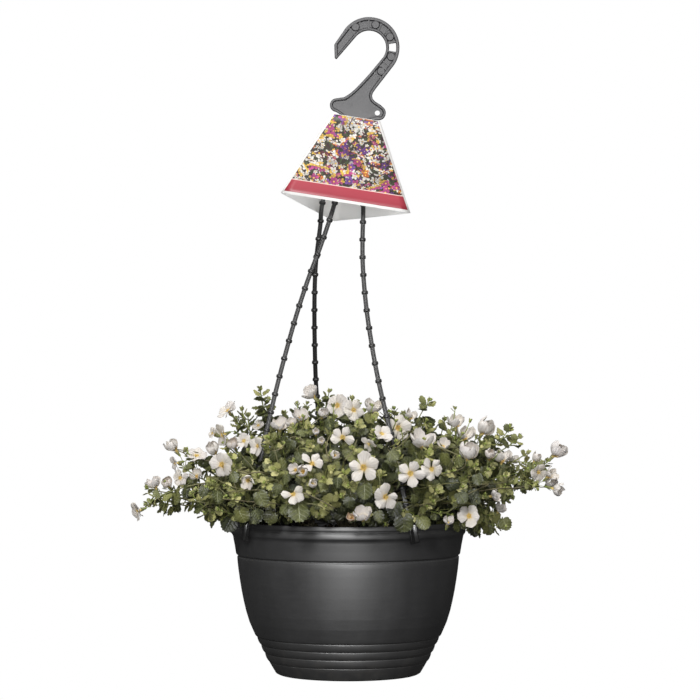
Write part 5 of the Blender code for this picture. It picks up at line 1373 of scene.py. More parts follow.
# Shoots that point at the viewer, and single large blades: pixel, width in pixels, way the tip points in degrees, youth, depth in shade, lift.
ROSETTES = ((265, 483), (264, 499), (313, 481), (323, 478), (333, 469), (268, 437), (309, 427), (353, 448), (343, 473), (340, 496), (348, 485), (430, 449), (433, 500), (428, 506.5), (436, 489), (358, 424),
            (374, 419), (429, 455), (438, 492), (491, 516), (500, 524), (504, 486), (476, 465), (506, 475), (276, 470), (310, 446), (325, 505), (454, 470), (462, 486), (235, 495), (210, 480), (455, 500), (484, 444))
BLADES = (
    (241.8, 516.5, 17, -80, 0.25, 0.1, 8), (270, 518, 15, -110, 0.2, 0.3, 6), (298.5, 512.7, 22, -75, 0.3, 0.05, 12), (262, 499, 16, -60, 0.2, 0.1, 9), (301, 457, 15, -70, 0.1, 0.35, 6),
    (284, 509, 15, -120, 0.2, 0.25, 8), (365, 492, 17, -95, 0.1, 0.35, 10), (379, 517, 13, -70, 0.15, 0.35, 9), (394, 456, 15, -60, 0.1, 0.40, 8), (394, 509.5, 16, -110, 0.1, 0.35, 10),
    (404, 524, 19, -95, 0.15, 0.25, 12), (424, 523, 15, -60, 0.3, 0.15, 12), (228, 525, 16, -125, 0.0, 0.85, 16), (505, 525, 15, -60, 0.3, 0.2, 2), (489, 530, 14, -100, 0.3, 0.2, 6),
    (474, 532, 13, -80, 0.05, 0.5, 8), (330, 517, 14, -70, 0.1, 0.45, 4), (317, 520, 12, -115, 0.1, 0.5, 2), (349, 503, 14, -100, 0.15, 0.3, 8), (257, 515, 13, -60, 0.25, 0.2, 7),
    (437, 512, 15, -75, 0.2, 0.2, 8), (415, 500, 14, -85, 0.2, 0.3, 8), (446, 505, 15, -100, 0.15, 0.3, 5), (277, 490, 14, -90, 0.15, 0.25, 8), (337, 483, 13, -110, 0.2, 0.2, 8),
    (462, 498, 15, -60, 0.15, 0.3, 4), (452, 485, 15, -120, 0.1, 0.35, 4), (474, 495, 14, -70, 0.1, 0.35, 3), (445, 460, 15, -90, 0.1, 0.35, 5), (459, 462, 13, -50, 0.1, 0.4, 3),
    (275, 457, 14, -80, 0.1, 0.35, 6), (290, 445, 13, -100, 0.15, 0.3, 5), (330, 425, 14, -70, 0.15, 0.3, 4), (285, 480, 12, -90, 0.15, 0.3, 6), (217, 497, 14, -80, 0.1, 0.3, 5),
    (203, 492, 13, -110, 0.15, 0.3, 4), (234, 478, 13, -70, 0.15, 0.3, 6), (248, 463, 13, -60, 0.15, 0.3, 5), (186, 494, 12, -100, 0.15, 0.35, 2), (478, 480, 14, -70, 0.15, 0.35, 3),
)
# Places, in pixels of the picture, that leaves leave open: two stretches of the right strand, its clip, and the shade over the rim.
OPENINGS = ((399, 485, 408.5, 508), (410.5, 530, 418, 548), (304, 520, 326, 528), (440.5, 508, 456, 516), (330, 521.5, 347, 528), (243, 529, 392, 550), (432, 530, 468, 550), (384, 400, 391, 424), (387, 424, 396, 448))
# Leafy tips that stand out of the mass: pixel and length in pixels.
TIPS = (
    (260, 389, 30, 0.05), (241.5, 409, 14, -0.1), (268, 399, 10, 0.5), (307, 404, 12, 0.1), (329.5, 391, 10, 0.3), (297, 404, 12, -0.2), (352, 398, 10, 0.0), (375, 415, 16, 0.15), (394, 409, 12, 0.0),
    (429.5, 400.5, 26, 0.45), (445, 419, 10, 0.1), (509.6, 426.5, 20, 0.3), (520, 437, 12, 0.6), (500, 434, 14, 0.1), (426, 421, 12, 0.3), (541, 462, 12, 0.5), (548, 461, 12, 0.4),
    (147, 487, 12, -0.4), (186, 450, 12, -0.4), (165, 483, 12, -0.2), (205, 511, 14, -0.6), (218, 509, 12, -0.4), (192, 494, 12, -0.2), (236, 420, 12, -0.2), (248, 415, 12, 0.0),
    (284, 413, 14, 0.05), (318, 402, 12, 0.1), (455, 409, 10, 0.1), (470, 421, 10, 0.2), (476, 437, 14, 0.2), (492, 440, 14, 0.3), (528, 452, 12, 0.5), (519, 483, 14, 0.8), (512, 497, 14, 0.6), (527, 470, 14, 0.7),
    (505, 526, 16, 0.4), (497, 517, 16, 0.3), (478, 531, 14, 0.1), (227, 497, 14, -0.4), (207, 487, 14, -0.6), (230, 455, 12, -0.4),
)
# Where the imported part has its 24 main shoots: every spray belongs to the nearest.
SHOOT_TIPS = np.array((
    (16.8, -185, 227), (61.7, -180, 219), (83.5, -168, 223), (36.1, -188, 198), (51.5, -108, 265), (-5.7, -120, 257), (-34.0, -178, 232), (-55.0, -182, 201),
    (-131, -120, 227), (-207, -22, 207), (-225, 2, 174), (-133, 32, 280), (-41.6, 34, 301), (8.0, -48, 281), (122, -150, 177), (163, -80, 237),
    (224, 0, 237), (147, 8, 263), (2.0, 190, 221), (-84, 176, 226), (96, 172, 230), (-164, 102, 221), (176, 104, 214), (46, 110, 279)), float)
CROWNS = [np.array((50 * math.sin(a), -50 * math.cos(a), 158.5)) for a in (0.0, math.tau / 3, 2 * math.tau / 3)]
COARSE = dict(points=np.array([(0, 0.03, 0), (-0.48, 0.32, 0), (0.48, 0.32, 0), (0, 0.4, 0), (-0.43, 0.68, 0), (0.43, 0.68, 0), (0, 1.0, 0)]),
              off=np.array([0, 0, 0, 1, 0, 0, 0.0]), side=np.zeros(7), quilt=np.zeros(7))
COARSE_FACES = [(0, 1, 3), (0, 3, 2), (1, 4, 3), (2, 3, 5), (3, 4, 6), (3, 6, 5)]


class Obstacles:
    """What is already placed, in trees of growing size, each face with an owner."""

    def __init__(self):
        self.levels, self.fresh = {}, []

    def add(self, points, faces, owner):
        points = [tuple(p) for p in np.asarray(points)]
        faces = [tuple(f) for f in faces]
        self.fresh.append((BVHTree.FromPolygons(points, faces), [owner] * len(faces), points, faces))
        if len(self.fresh) >= 24:
            self.store(0, self.fresh)
            self.fresh = []

    def store(self, level, items):
        points, faces, owners = [], [], []
        for _, own, p, f in items:
            shift = len(points)
            points += p
            faces += [tuple(i + shift for i in face) for face in f]
            owners += own
        self.levels.setdefault(level, []).append((BVHTree.FromPolygons(points, faces), owners, points, faces))
        if len(self.levels[level]) >= 4:
            self.store(level + 1, self.levels.pop(level))

    def hit(self, points, faces, ignore=None):
        tree = BVHTree.FromPolygons([tuple(p) for p in np.asarray(points)], faces)
        for group in (*self.levels.values(), self.fresh):
            for other, owners, _, _ in group:
                for _, b in tree.overlap(other):
                    if owners[b] != ignore:
                        return True
        return False


obstacles = Obstacles()
for line in strand_lines.values():
    below = line[line[:, 2] < 330]
    _, u, v = frames_along(below)
    body, quads, _ = sweep(below, u, v, np.array([(2.9, 2.9), (-2.9, 2.9), (-2.9, -2.9), (2.9, -2.9)])[::-1])
    obstacles.add(body, quads.tolist(), "strand")
rim_ring = lathe_points([(121.0, 152), (121.0, 164.5), (126.2, 164.5), (126.2, 150), (116, 112)], 48)
obstacles.add(rim_ring, strip_quads(5, 48, closed=True)[0].tolist(), "pot")


def bezier(p0, p1, p2, p3, count):
    t = np.linspace(0, 1, count)[:, None]
    return p0 * (1 - t) ** 3 + p1 * (3 * t * (1 - t) ** 2) + p2 * (3 * t * t * (1 - t)) + p3 * t**3


def evenly(points, step):
    length = np.concatenate([[0], np.cumsum(np.linalg.norm(np.diff(points, axis=0), axis=1))])
    count = max(3, int(length[-1] / step) + 1)
    want = np.linspace(0, length[-1], count)
    return np.stack([np.interp(want, length, points[:, k]) for k in range(3)], 1), length[-1]


def clear_path(line):
    r = np.hypot(line[:, 0], line[:, 1])
    z = line[:, 2]
    return not (((z < 167.5) & (r > 111) & (r < 129.5)) | ((z < 152.5) & (r < 131))).any()


class Spray:
    """One leafy shoot from a crown to its tip."""

    made = []

    def __init__(self, rng, tip, heading, scale=1.0, leafy=58.0, old=0.0, tuft=True, wander=9.0, thick=1.0):
        tip, heading = np.asarray(tip, float), unit(np.asarray(heading, float))
        flat = np.array((tip[0], tip[1], 0.0))
        crown = min(CROWNS, key=lambda c: np.linalg.norm(flat - c * (1.9, 1.9, 0)))
        start = crown + (*rng.uniform(-7, 7, 2), -3.0)
        reach = np.linalg.norm(tip - start)
        away = unit(np.array((tip[0] - start[0], tip[1] - start[1], 0.001)))
        rise = 0.0
        for attempt in range(14):
            p1 = start + unit(away * 0.42 + np.array((0, 0, 1.0))) * reach * 0.34 + rng.uniform(-1, 1, 3) * wander + (0, 0, rise)
            p2 = tip - heading * reach * 0.34 + rng.uniform(-1, 1, 3) * wander * 0.6 + (0, 0, rise * 0.7)
            line = bezier(start, p1, p2, tip, 60)
            if clear_path(line[4:]):
                break
            rise += 7.0
        self.fine, self.length = evenly(line, 1.5)
        self.tip, self.heading, self.scale, self.leafy, self.old, self.tuft, self.thick = tip, heading, scale, min(leafy, self.length * 0.72), old, tuft, thick
        self.phase, self.seen = rng.uniform(0, math.tau), tip[1] < -60
        self.group = int(np.argmin(np.linalg.norm((SHOOT_TIPS - tip) * (1, 1, 0.8), axis=1)))
        self.id = len(Spray.made)
        self.tangents, self.u, self.v = frames_along(self.fine, (0.31, 0.52, 0.79))
        Spray.made.append(self)
        thin = self.fine[:: 6] if len(self.fine) > 12 else self.fine
        body, quads, _ = tube(thin, np.full(len(thin), 0.75 * thick), 3)
        obstacles.add(body, quads.tolist(), self.id)

    def radius(self, d):
        """Radius at a distance from the tip."""
        return self.thick * (0.42 + 0.75 * (1 - math.exp(-d / 70.0)))

    def at(self, d):
        k = min(len(self.fine) - 1, max(0.0, (1 - d / self.length) * (len(self.fine) - 1)))
        i = min(int(k), len(self.fine) - 2)
        t = k - i
        return self.fine[i] * (1 - t) + self.fine[i + 1] * t, self.tangents[i], self.u[i], self.v[i]


def in_front_of_flower(points, flowers):
    """Whether a leaf would stand before a flower's face, seen from the viewer or along the flower's own axis."""
    middle = points.mean(0)
    for f in flowers:
        w = middle - f["centre"]
        depth = float(np.dot(w, f["facing"]))
        if 1.0 < depth < 24.0 and np.linalg.norm(w - f["facing"] * depth) < f["radius"] * 0.72:
            return True
        if f["seen"] and middle[1] < f["centre"][1] + 2.0:
            px, py = to_pixel(points)
            gap = np.hypot(px - f["px"], py - f["py"])
            if gap.min() < f["radius"] * 0.80 * 0.936:
                return True
    return False


heaps = {}  # (group, kind): Heap


def heap_of(group, kind):
    return heaps.setdefault((group, kind), Heap())


def depth_shade(p):
    """How much painted shade a part gets: 0 on the surface of the mass to 1 deep inside it."""
    if p[2] < 150:
        return 0.6
    gap = dome_radius(p[0], p[1], min(290.0, p[2])) - math.hypot(p[0], p[1])
    top = 292 - p[2]
    return float(np.clip(min(gap, top * 1.2) / 75.0, 0.0, 1.0))


leaf_count = {"big": 0, "mid": 0, "small": 0, "refused": 0}


def in_opening(points):
    px, py = to_pixel(points)
    return points[:, 1].mean() < -60 and any(((px > x0) & (px < x1) & (py > y0) & (py < y1)).any() for x0, y0, x1, y1 in OPENINGS)


def place_leaf(rng, spray, root, out, normal, length, youth, flowers, stalk=2.2, always=False, deep=None):
    """Puts one blade on its stalk if it fits, and returns whether it did."""
    normal = normal - out * np.dot(normal, out)
    if np.linalg.norm(normal) < 0.05:
        normal = any_side(out)
    normal = unit(normal)
    base = root + out * stalk
    shape = dict(length=length, wide=rng.uniform(0.90, 1.10), fold=rng.uniform(0.08, 0.58), arch=rng.uniform(-0.20, 0.85), twist=rng.uniform(-0.45, 0.45))
    if youth > 0.55:
        shape["arch"] = rng.uniform(-0.55, 0.3)
        shape["fold"] = rng.uniform(0.2, 0.5)
    coarse = leaf_shape(COARSE, base, out, normal, thick=0.0, **shape)
    if not always:
        if in_front_of_flower(coarse, flowers) or in_opening(coarse) or obstacles.hit(coarse, COARSE_FACES, spray.id):
            leaf_count["refused"] += 1
            return False
    obstacles.add(coarse, COARSE_FACES, "leaf")
    kind = "big" if length >= 12.8 else "mid" if length >= 6.6 else "small"
    template = {"big": BIG_LEAF, "mid": MID_LEAF, "small": SMALL_LEAF}[kind]
    leaf_count[kind] += 1
    thick = 0.34 / length
    points = leaf_shape(template, base, out, normal, thick=thick, ripple=rng.uniform(0.005, 0.055), phase=rng.uniform(0, 6), **shape)
    # The blade's depth in the mound goes into the tint's blue, which the leaf material turns into painted shade.
    deep = depth_shade(base) if deep is None else deep
    tint = (rng.random(), float(np.clip(youth + rng.normal(0, 0.13), 0, 1)), float(np.clip(deep + rng.normal(0, 0.13), 0, 1)), 1.0)
    tints = np.repeat(np.array(tint)[None], len(points), 0)
    tints[:, 3] = template["off"]
    heap_of(spray.group, "leaf").add(points, template["quads"], template["uv"], tints)
    bend = (root + base) / 2 - normal * 0.15 * stalk
    line = np.array([root - out * 0.4, bend, base + out * 0.05 * length] if length > 11 else [root - out * 0.4, base + out * 0.05 * length])
    heap_of(spray.group, "stem").add(*tube(line, (0.46, 0.40, 0.36) if length > 11 else (0.36, 0.26), 3), tint)
    return True


NODE_STEPS = (3.0, 7.2, 12.4, 18.8, 26.6, 35.6, 45.6, 56.5, 68.5, 82.0)


def dress(rng, spray, flowers, density=1.0, always=False):
    """Puts pairs of leaves on a spray, from its tip back."""
    for k, d in enumerate(NODE_STEPS):
        d = d * spray.scale ** 0.5
        if d > spray.leafy:
            break
        p, t, u, v = spray.at(d)
        length = (3.4 + 10.6 * (1 - math.exp(-d / 15.5))) * spray.scale * rng.uniform(0.78, 1.14)
        youth = math.exp(-d / 14.0) * (1 - spray.old) + (0.22 + 0.35 * min(1.0, max(0.0, (math.hypot(p[0], p[1]) - 120.0) / 70.0))) * (1 - spray.old) * math.exp(-d / 60.0)
        facing = dome_normal(p)
        for half in (0, 1):
            if rng.random() > density:
                continue
            for attempt in range(4):
                a = spray.phase + k * math.pi / 2 + half * math.pi + rng.normal(0, 0.25 + 0.3 * attempt)
                side = u * math.cos(a) + v * math.sin(a)
                lift = rng.uniform(0.05, 0.45) + 0.75 * math.exp(-d / 6.5)
                out = unit(side * math.cos(lift) + t * math.sin(lift) + facing * rng.uniform(0.0, 0.30) * (1 if d > 6 else 0.2))
                normal = t * 0.70 + np.array((0, 0, 0.35)) + facing * 0.50 + rng.normal(0, 0.46, 3) if d > 5 else -side + t * 0.5
                size = length * (1.0, 0.95, 0.85, 0.72)[attempt]
                if place_leaf(rng, spray, p + side * spray.radius(d) * 0.7, out, normal, size, youth, flowers, stalk=0.6 + size * rng.uniform(0.12, 0.22), always=always):
                    break
    if spray.tuft:
        p, t, u, v = spray.at(0.6)
        for k in range(4):
            a = spray.phase + 0.8 + k * math.pi / 2
            side = u * math.cos(a) + v * math.sin(a)
            out = unit(side * 0.55 + t)
            place_leaf(rng, spray, p + side * 0.4, out, -side + t * 0.2, rng.uniform(2.9, 4.4) * spray.scale, 1.0, flowers, stalk=0.3, always=True)
        # Green buds among the youngest leaves.
        for k in range(rng.integers(1, 4)):
            a = rng.uniform(0, math.tau)
            spot = p + t * rng.uniform(1.0, 2.6) + (u * math.cos(a) + v * math.sin(a)) * rng.uniform(0.6, 2.0)
            size = rng.uniform(0.8, 1.5)
            heap_of(spray.group, "stem").add(ICO_LOW * size * (1, 1, 1.25) + spot, ICO_LOW_FACES, np.full((len(ICO_LOW_FACES), 4, 2), 0.5), (rng.random(), 1.0, 0.0, 1.0))


def draw_stem(spray):
    line = spray.fine[:: 7]
    if not np.allclose(line[-1], spray.fine[-1]):
        line = np.concatenate([line, spray.fine[-1:]])
    distance = np.linspace(spray.length, 0, len(line))
    radii = np.array([spray.radius(d) for d in distance])
    for d in NODE_STEPS:
        radii = radii + 0.18 * np.exp(-(((distance - d) / 2.0) ** 2))
    sides = 5 if spray.thick > 1.2 or spray.seen else 4
    body, quads, uv = tube(line, radii, sides)
    young = np.exp(-distance / 42.0)
    # Each stem ring's depth in the mound goes into the tint's blue, which the stem material turns into painted shade.
    deep = np.array([depth_shade(p) for p in line])
    tint = np.stack([np.full(len(line), spray.phase / math.tau), young, deep, np.ones(len(line))], 1)
    tint = np.concatenate([np.repeat(tint, sides, 0), tint[:1], tint[-1:]])
    heap_of(spray.group, "stem").add(body, quads, uv, tint)


def grow_flower(rng, group, centre, facing, diameter, kind, fine, seen=None, ripe=0.0, missing=(), reach=None, width=None, roll=None):
    """Makes a flower clear of what is there. Returns its record."""
    facing = unit(np.asarray(facing, float))
    centre = np.asarray(centre, float)
    blush = float(np.clip(rng.normal(0.35, 0.2), 0, 1)) if ripe == 0 else 0.5
    open_kind = kind[0] > 0.66
    width = width or (rng.uniform(0.86, 0.99) if kind[1] > 1.5 else 1.06 if kind[1] > 0.5 else 1.0)
    state = rng.bit_generator.state
    for shift in (0, -4, 4, -8, 8, -12, 12, -17, 17, -22, 22, -28, 28):
        rng.bit_generator.state = state
        if seen is not None:
            spot = at_pixel(seen[0], seen[1], centre[1] + shift)
        else:
            spot = centre + facing * shift * 0.6
        parts = flower_parts(rng, spot, facing, diameter, kind, 5, width, roll, missing, fine, blush, ripe)
        body = np.concatenate([p[0] for p in parts[0]])
        shift_index, faces = 0, []
        for p, q, _ in parts[0]:
            faces += [tuple(f + shift_index for f in face) for face in q.tolist()]
            shift_index += len(p)
        if not obstacles.hit(body, faces):
            break
    obstacles.add(body, faces, "flower")
    lobes, throat, sepals, cup, stalk = parts
    tint = (rng.random(), blush, ripe, 1.0)
    record = dict(centre=spot, facing=facing, radius=reach or diameter / 2 * (1.0 if kind[1] > 0.5 else 0.55), seen=seen is not None, px=seen[0] if seen else 0, py=seen[1] if seen else 0, stalk=stalk, open=open_kind)
    for p, q, c in lobes:
        heap_of(group, "petal").add(p, q, c, (rng.random(), tint[1], tint[2], 1.0), 0)
    for p, q, c in throat:
        heap_of(group, "petal").add(p, q, c, tint, 1)
    green = (rng.random(), 0.85, 0.0, 1.0)
    heap_of(group, "stem").add(*cup, green)
    for base, out, normal, length, wide in sepals:
        p = leaf_shape(SMALL_LEAF, base, out, -normal, length, wide, 0.4, -0.25, 0.0, 0.05)
        heap_of(group, "leaf").add(p, SMALL_LEAF["quads"], SMALL_LEAF["uv"], (green[0], 0.8, 0.0, 1.0))
    return record


def stalk_to(rng, spray, stalk, facing, from_tip=9.0):
    """A flower stalk from a node of the spray."""
    p, t, u, v = spray.at(from_tip)
    gap = stalk - p
    reach = np.linalg.norm(gap)
    line = bezier(p, p + unit(t + unit(gap)) * reach * 0.4, stalk - facing * reach * 0.35, stalk + facing * 0.4, 7)
    heap_of(spray.group, "stem").add(*tube(line, np.linspace(0.42, 0.36, 7), 5), (rng.random(), 0.7, 0.0, 1.0))
    body, quads, _ = tube(line, np.full(7, 0.4), 3)
    obstacles.add(body, quads.tolist(), spray.id)


def bowl_diameter(kind, reach):
    """The size, laid open, of a flower whose upheld lobes bulge this far from its axis."""
    s = np.linspace(0, 1, 25)
    out = np.sin(kind[0] + (kind[1] - kind[0]) * s**1.2)
    bulge = np.concatenate([[0], np.cumsum((out[1:] + out[:-1]) / 2)]).max() / 24
    return 2 * reach / (0.104 + (1 - 0.104) * bulge)


rng = np.random.default_rng(20)
flowers, pairs = [], []
for px, py, wide, way, kind, lift, *more in CATALOGUE:
    facing = unit(np.array((way[0], -way[1], way[2])))
    centre = on_front(px, py, lift)
    diameter = wide * (centre[1] - CAM[1]) / FOCAL
    reach = diameter / 2
    seen = (px, py)
    if kind in (BUD, SHY, CUP):
        reach *= 1.05
        diameter = bowl_diameter(kind, reach)
        foot = to_pixel((centre - facing * reach * 0.75)[None])
        seen = (float(foot[0][0]), float(foot[1][0]))
    elif kind is SIDE:
        diameter *= 1.08
    group = int(np.argmin(np.linalg.norm((SHOOT_TIPS - centre) * (1, 1, 0.8), axis=1)))
    record = grow_flower(rng, group, centre, facing, diameter, kind, True, seen, more[0] if more else 0.0, more[1] if len(more) > 1 else (), reach=reach,
                         width=more[3] if len(more) > 3 else None, roll=more[2] if len(more) > 2 else None)
    record["px"], record["py"] = px, py
    flowers.append(record)
for record in flowers:
    f, n = record["stalk"], record["facing"]
    outward = dome_normal(f)
    behind = unit(-n * 0.5 + rng.normal(0, 0.35, 3))
    side = unit(np.cross(n, rng.normal(0, 1, 3)))
    tip = f - n * rng.uniform(4.0, 9.0) + side * rng.uniform(4.0, 8.0)
    tip[2] = max(tip[2], 175.0)
    heading = unit(n * 0.35 + outward * 0.8 + side * 0.3)
    spray = Spray(rng, tip, heading, rng.uniform(0.85, 1.05), 60.0)
    pairs.append((spray, record))
for spray, record in pairs:
    stalk_to(rng, spray, record["stalk"], record["facing"], rng.uniform(6, 12))
sprays = [spray for spray, _ in pairs]

for px, py, size, lean in TIPS:
    tip = on_front(px, py, 2.0)
    outward = dome_normal(tip)
    heading = unit(np.array((lean * 1.2, outward[1] * 0.3, 1.0 - 0.9 * abs(lean))) + outward * 0.25)
    sprays.append(Spray(rng, tip, heading, 0.98 + size / 120.0, 34.0 + size))

for px, py in ROSETTES:
    tip = on_front(px, py, 5.0)
    heading = unit(np.array((rng.normal(0, 0.22), -1.0, rng.uniform(-0.05, 0.40))) + dome_normal(tip) * 0.35)
    sprays.append(Spray(rng, tip, heading, rng.uniform(0.92, 1.15), 46.0))


# Old stems that show between the leaves: the picture's pixels that each runs through.
BARE = (
    ((428, 487), (440, 484.5), (462, 482.5), (490, 482)), ((446, 474), (459, 470), (466, 463), (457, 448)), ((436, 446), (446, 450), (460, 457)), ((458, 501), (470, 493), (489, 484)),
    ((394, 445), (401, 439), (409, 431)), ((398, 447), (406, 440), (413, 431)), ((498, 488.5), (514, 488.5), (533, 485.5)), ((505, 482), (516, 476), (524, 465)), ((154, 491), (163, 494.5), (178, 497), (194, 501)),
    ((226, 493), (242, 491), (259, 490)), ((222, 499), (238, 500.5), (254, 502), (271, 503)), ((192, 458), (183, 452.5), (174, 449)), ((233, 416), (243, 424), (253, 433)), ((295, 492), (306, 494), (318, 499), (334, 508)),
    ((300, 505), (313, 504), (328, 511)), ((345, 460), (352, 452), (357, 440)), ((270, 452), (280, 449), (292, 437)), ((420, 505), (432, 503), (447, 497)), ((376, 470), (380, 482), (378, 492)), ((206, 476), (218, 480), (232, 487)),
    ((448, 512), (456, 506), (470, 503)), ((330, 436), (326, 447), (329, 460)), ((238, 470), (247, 474), (258, 472)),
)
for way in BARE:
    through = [on_front(px, py, rng.uniform(3.0, 7.0)) for px, py in way]
    inward = [np.array((p[0] * 0.86, p[1] * 0.84, p[2] - 4.0)) for p in (through[0], through[-1])]
    line = smooth_route([inward[0], *through, inward[1]], 5.0)
    body, quads, uv = tube(line, np.full(len(line), rng.uniform(0.48, 0.78)) * (1 + 0.12 * np.sin(np.arange(len(line)) * 1.9)), 5)
    # The tint's blue gives each bare stem a little painted shade.
    heap_of(int(np.argmin(np.linalg.norm((SHOOT_TIPS - through[1]) * (1, 1, 0.8), axis=1))), "stem").add(body, quads, uv, (rng.random(), rng.uniform(0.05, 0.4), rng.uniform(0.0, 0.2), 1.0))
    obstacles.add(body, quads.tolist(), "bare")


def show_blade(rng, px, py, wide, way, youth, deep, lift):
    """One large blade seen face on, on a stalk from the nearest shoot."""
    for push in (0.0, 5.0, -4.0, 10.0):
        centre = on_front(px, py, lift + push)
        length = wide * (0.84 if lift < 9 else 0.95) * (centre[1] - CAM[1]) / FOCAL
        a = math.radians(way + rng.normal(0, 8))
        out = unit(np.array((math.cos(a), rng.uniform(-0.35, 0.0), math.sin(a))))
        normal = np.array((rng.normal(0, 0.38), -1.0, rng.uniform(-0.1, 0.8)))
        root = centre - out * (length * 0.5 + 2.0)
        near = min(Spray.made, key=lambda s: np.linalg.norm(s.fine[::4] - root, axis=1).min())
        if place_leaf(rng, near, root, out, normal, length, youth, flowers, stalk=2.0, deep=deep):
            start = near.fine[np.linalg.norm(near.fine - root, axis=1).argmin()]
            gap = np.linalg.norm(root - start)
            line = bezier(start, start + (root - start) * 0.3 + (0, 0, gap * 0.15), root - out * gap * 0.3, root + out * 0.3, 6)
            # The stalk takes part of the blade's depth as painted shade in the tint's blue.
            heap_of(near.group, "stem").add(*tube(line, np.full(6, 0.5), 4), (rng.random(), 0.25, deep * 0.6, 1.0))
            return


for blade in BLADES:
    show_blade(rng, *blade)

# Fillers: tips spread over the mass, none too near another.
tips = [s.tip for s in sprays]


def scattered(rng, tips, spacing, scale, tries, low, high=289.0, lift=(-7.0, 3.0)):
    """Points on the mass, or on a smaller copy of it, that keep their distance."""
    made = []
    for _ in range(tries):
        z = rng.uniform(low, high)
        a = rng.uniform(0, math.tau)
        c, s = math.cos(a), math.sin(a)
        r = dome_radius(c, s, z)
        e = 3.0
        slope = (dome_radius(c, s, z + e) - dome_radius(c, s, z - e)) / (2 * e)
        if rng.random() * 620.0 > r * math.sqrt(1 + slope * slope):
            continue
        r = max(0.0, r * scale + rng.uniform(*lift))
        p = np.array((r * c, r * s, 160 + (z - 160) * (0.35 + 0.65 * scale)))
        near = np.array(tips + made)
        if len(near) and (np.linalg.norm(near - p, axis=1) < spacing).any():
            continue
        made.append(p)
    return made


fillers = scattered(rng, tips, 21.0, 1.0, 9000, 166.0)
back_flowers = []
for p in fillers:
    outward = dome_normal(p)
    heading = unit(outward * 0.9 + np.array((0, 0, 0.35)) + rng.normal(0, 0.3, 3))
    side = DOME_LEFT if p[0] < 0 else DOME_RIGHT
    crest = DOME_Z[side >= abs(p[0])].max(initial=150.0)
    hidden = p[1] > -10 and p[2] < crest - 24 and abs(p[0]) < np.interp(p[2], DOME_Z, side) - 26
    if hidden and p[2] > 172 and rng.random() < 0.62:
        roll = rng.random()
        kind = OPEN if roll < 0.60 else SIDE if roll < 0.72 else CUP if roll < 0.84 else BUD
        facing = unit(outward + np.array((0, 0, 0.25)) + rng.normal(0, 0.38, 3))
        diameter = rng.uniform(21, 30) if kind in (OPEN, SIDE) else bowl_diameter(kind, rng.uniform(6.0, 8.5) if kind is CUP else rng.uniform(3.5, 6.5))
        group = int(np.argmin(np.linalg.norm((SHOOT_TIPS - p) * (1, 1, 0.8), axis=1)))
        record = grow_flower(rng, group, p + outward * rng.uniform(6, 16), facing, diameter, kind, False)
        flowers.append(record)
        side = unit(np.cross(facing, rng.normal(0, 1, 3)))
        spray = Spray(rng, record["stalk"] - facing * rng.uniform(4, 9) + side * rng.uniform(4, 8), heading, rng.uniform(0.85, 1.08), 58.0)
        stalk_to(rng, spray, record["stalk"], facing, rng.uniform(6, 12))
    else:
        spray = Spray(rng, p, heading, rng.uniform(0.85, 1.15), 56.0)
    sprays.append(spray)

# The skirt over the rim, and the old leaves inside.
skirt = []
for k in range(44):
    a = math.tau * (k + rng.uniform(-0.3, 0.3)) / 44
    r = rng.uniform(117, 134)
    p = np.array((r * math.sin(a), -r * math.cos(a), rng.uniform(172, 180)))
    heading = unit(np.array((math.sin(a), -math.cos(a), rng.uniform(-0.35, 0.25))) + rng.normal(0, 0.25, 3))
    skirt.append(Spray(rng, p, heading, rng.uniform(1.05, 1.3), 44.0, 0.75, tuft=False))
inner_tips = scattered(rng, [], 30.0, 0.68, 5000, 168.0)
inner_sprays = [Spray(rng, p, unit(dome_normal(p) + rng.normal(0, 0.5, 3)), rng.uniform(1.1, 1.35), 50.0, 0.9, tuft=False) for p in inner_tips]

for spray in sprays:
    dress(rng, spray, flowers)
for spray in skirt:
    dress(rng, spray, flowers)
for spray in inner_sprays:
    dress(rng, spray, flowers, 0.8)
for spray in Spray.made:
    draw_stem(spray)
print("leaves", leaf_count, "sprays", len(Spray.made), "flowers", len(flowers), "fillers", len(fillers), "inner", len(inner_sprays))

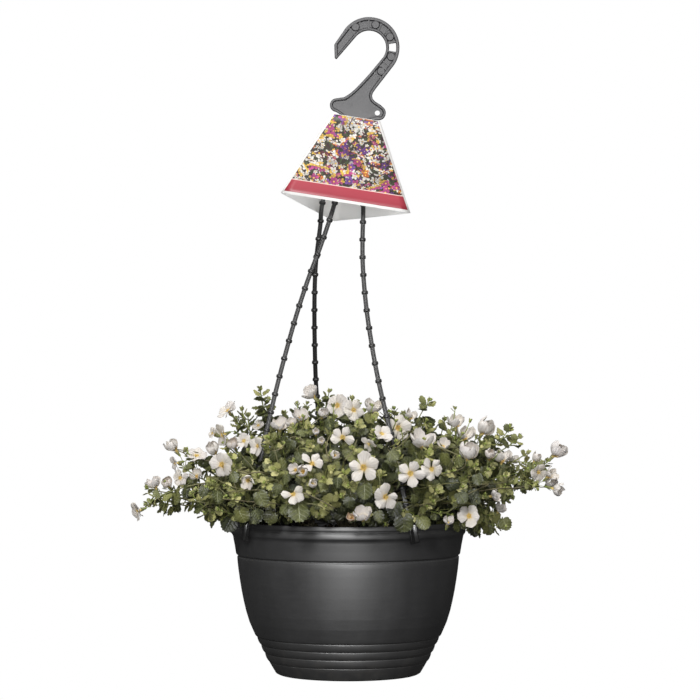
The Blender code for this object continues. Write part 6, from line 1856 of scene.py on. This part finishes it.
for g in range(24):
    replaced = {"leaf": [f"shoot_{g + 1:02d}"], "petal": [f"flower_{g + 1:02d}"]}
    if (g, "petal") not in heaps:
        replaced["leaf"] += replaced.pop("petal")
    for kind, materials, slot, title in (("leaf", [LEAF], "leaf", "leaves"), ("stem", [STEM], "stem", "stems"), ("petal", [PETAL, THROAT], "petal", "flowers")):
        if (g, kind) in heaps:
            heaps[g, kind].build(f"spray_{g + 1:02d}_{title}", materials, slot, replaced.get(kind, ()), sharp=None if kind == "stem" else 75)

for k, centre in enumerate(CROWNS):
    profile = [(0, 151.4), (9.0, 151.4), (11.0, 154.0), (10.6, 156.0), (8.8, 158.2), (6.4, 159.6), (3.6, 160.4), (0, 160.7)]
    ring = lathe_points(profile[1:-1], 28)
    ring[:, :2] *= (1 + 0.07 * np.sin(np.arctan2(ring[:, 1], ring[:, 0]) * 7 + k) + 0.05 * np.sin(np.arctan2(ring[:, 1], ring[:, 0]) * 13))[:, None]
    ring[:, :2] += centre[:2]
    quads, uv = strip_quads(len(profile) - 2, 28, closed=True)
    j = np.arange(28)
    n = len(ring)
    last = (len(profile) - 3) * 28
    caps = np.concatenate([np.stack([np.full(28, n), (j + 1) % 28, j, j], 1), np.stack([np.full(28, n + 1), last + j, last + (j + 1) % 28, last + (j + 1) % 28], 1)])
    heap = Heap()
    # A fixed 0.7 in the tint's blue gives each plug painted shade from the stem material.
    heap.add(np.concatenate([ring, [(*centre[:2], 151.4), (*centre[:2], 160.7)]]), np.concatenate([quads, caps]), np.concatenate([uv, np.zeros((56, 4, 2))]), (0.4, 0.1, 0.7, 1.0))
    heap.build(f"plug_{k + 1}", [STEM], "stem", (f"crown_{k + 1}",))

# ====================================================================== stage
bm = bmesh.new()
bmesh.ops.create_grid(bm, x_segments=8, y_segments=8, size=9.0)
mesh = bpy.data.meshes.new("floor")
bm.to_mesh(mesh)
bm.free()
floor = bpy.data.objects.new("floor", mesh)
floor.location = (0, 0, -1.45)
mesh.materials.append(floor_material())
scene.collection.objects.link(floor)
floor.visible_diffuse = floor.visible_glossy = False
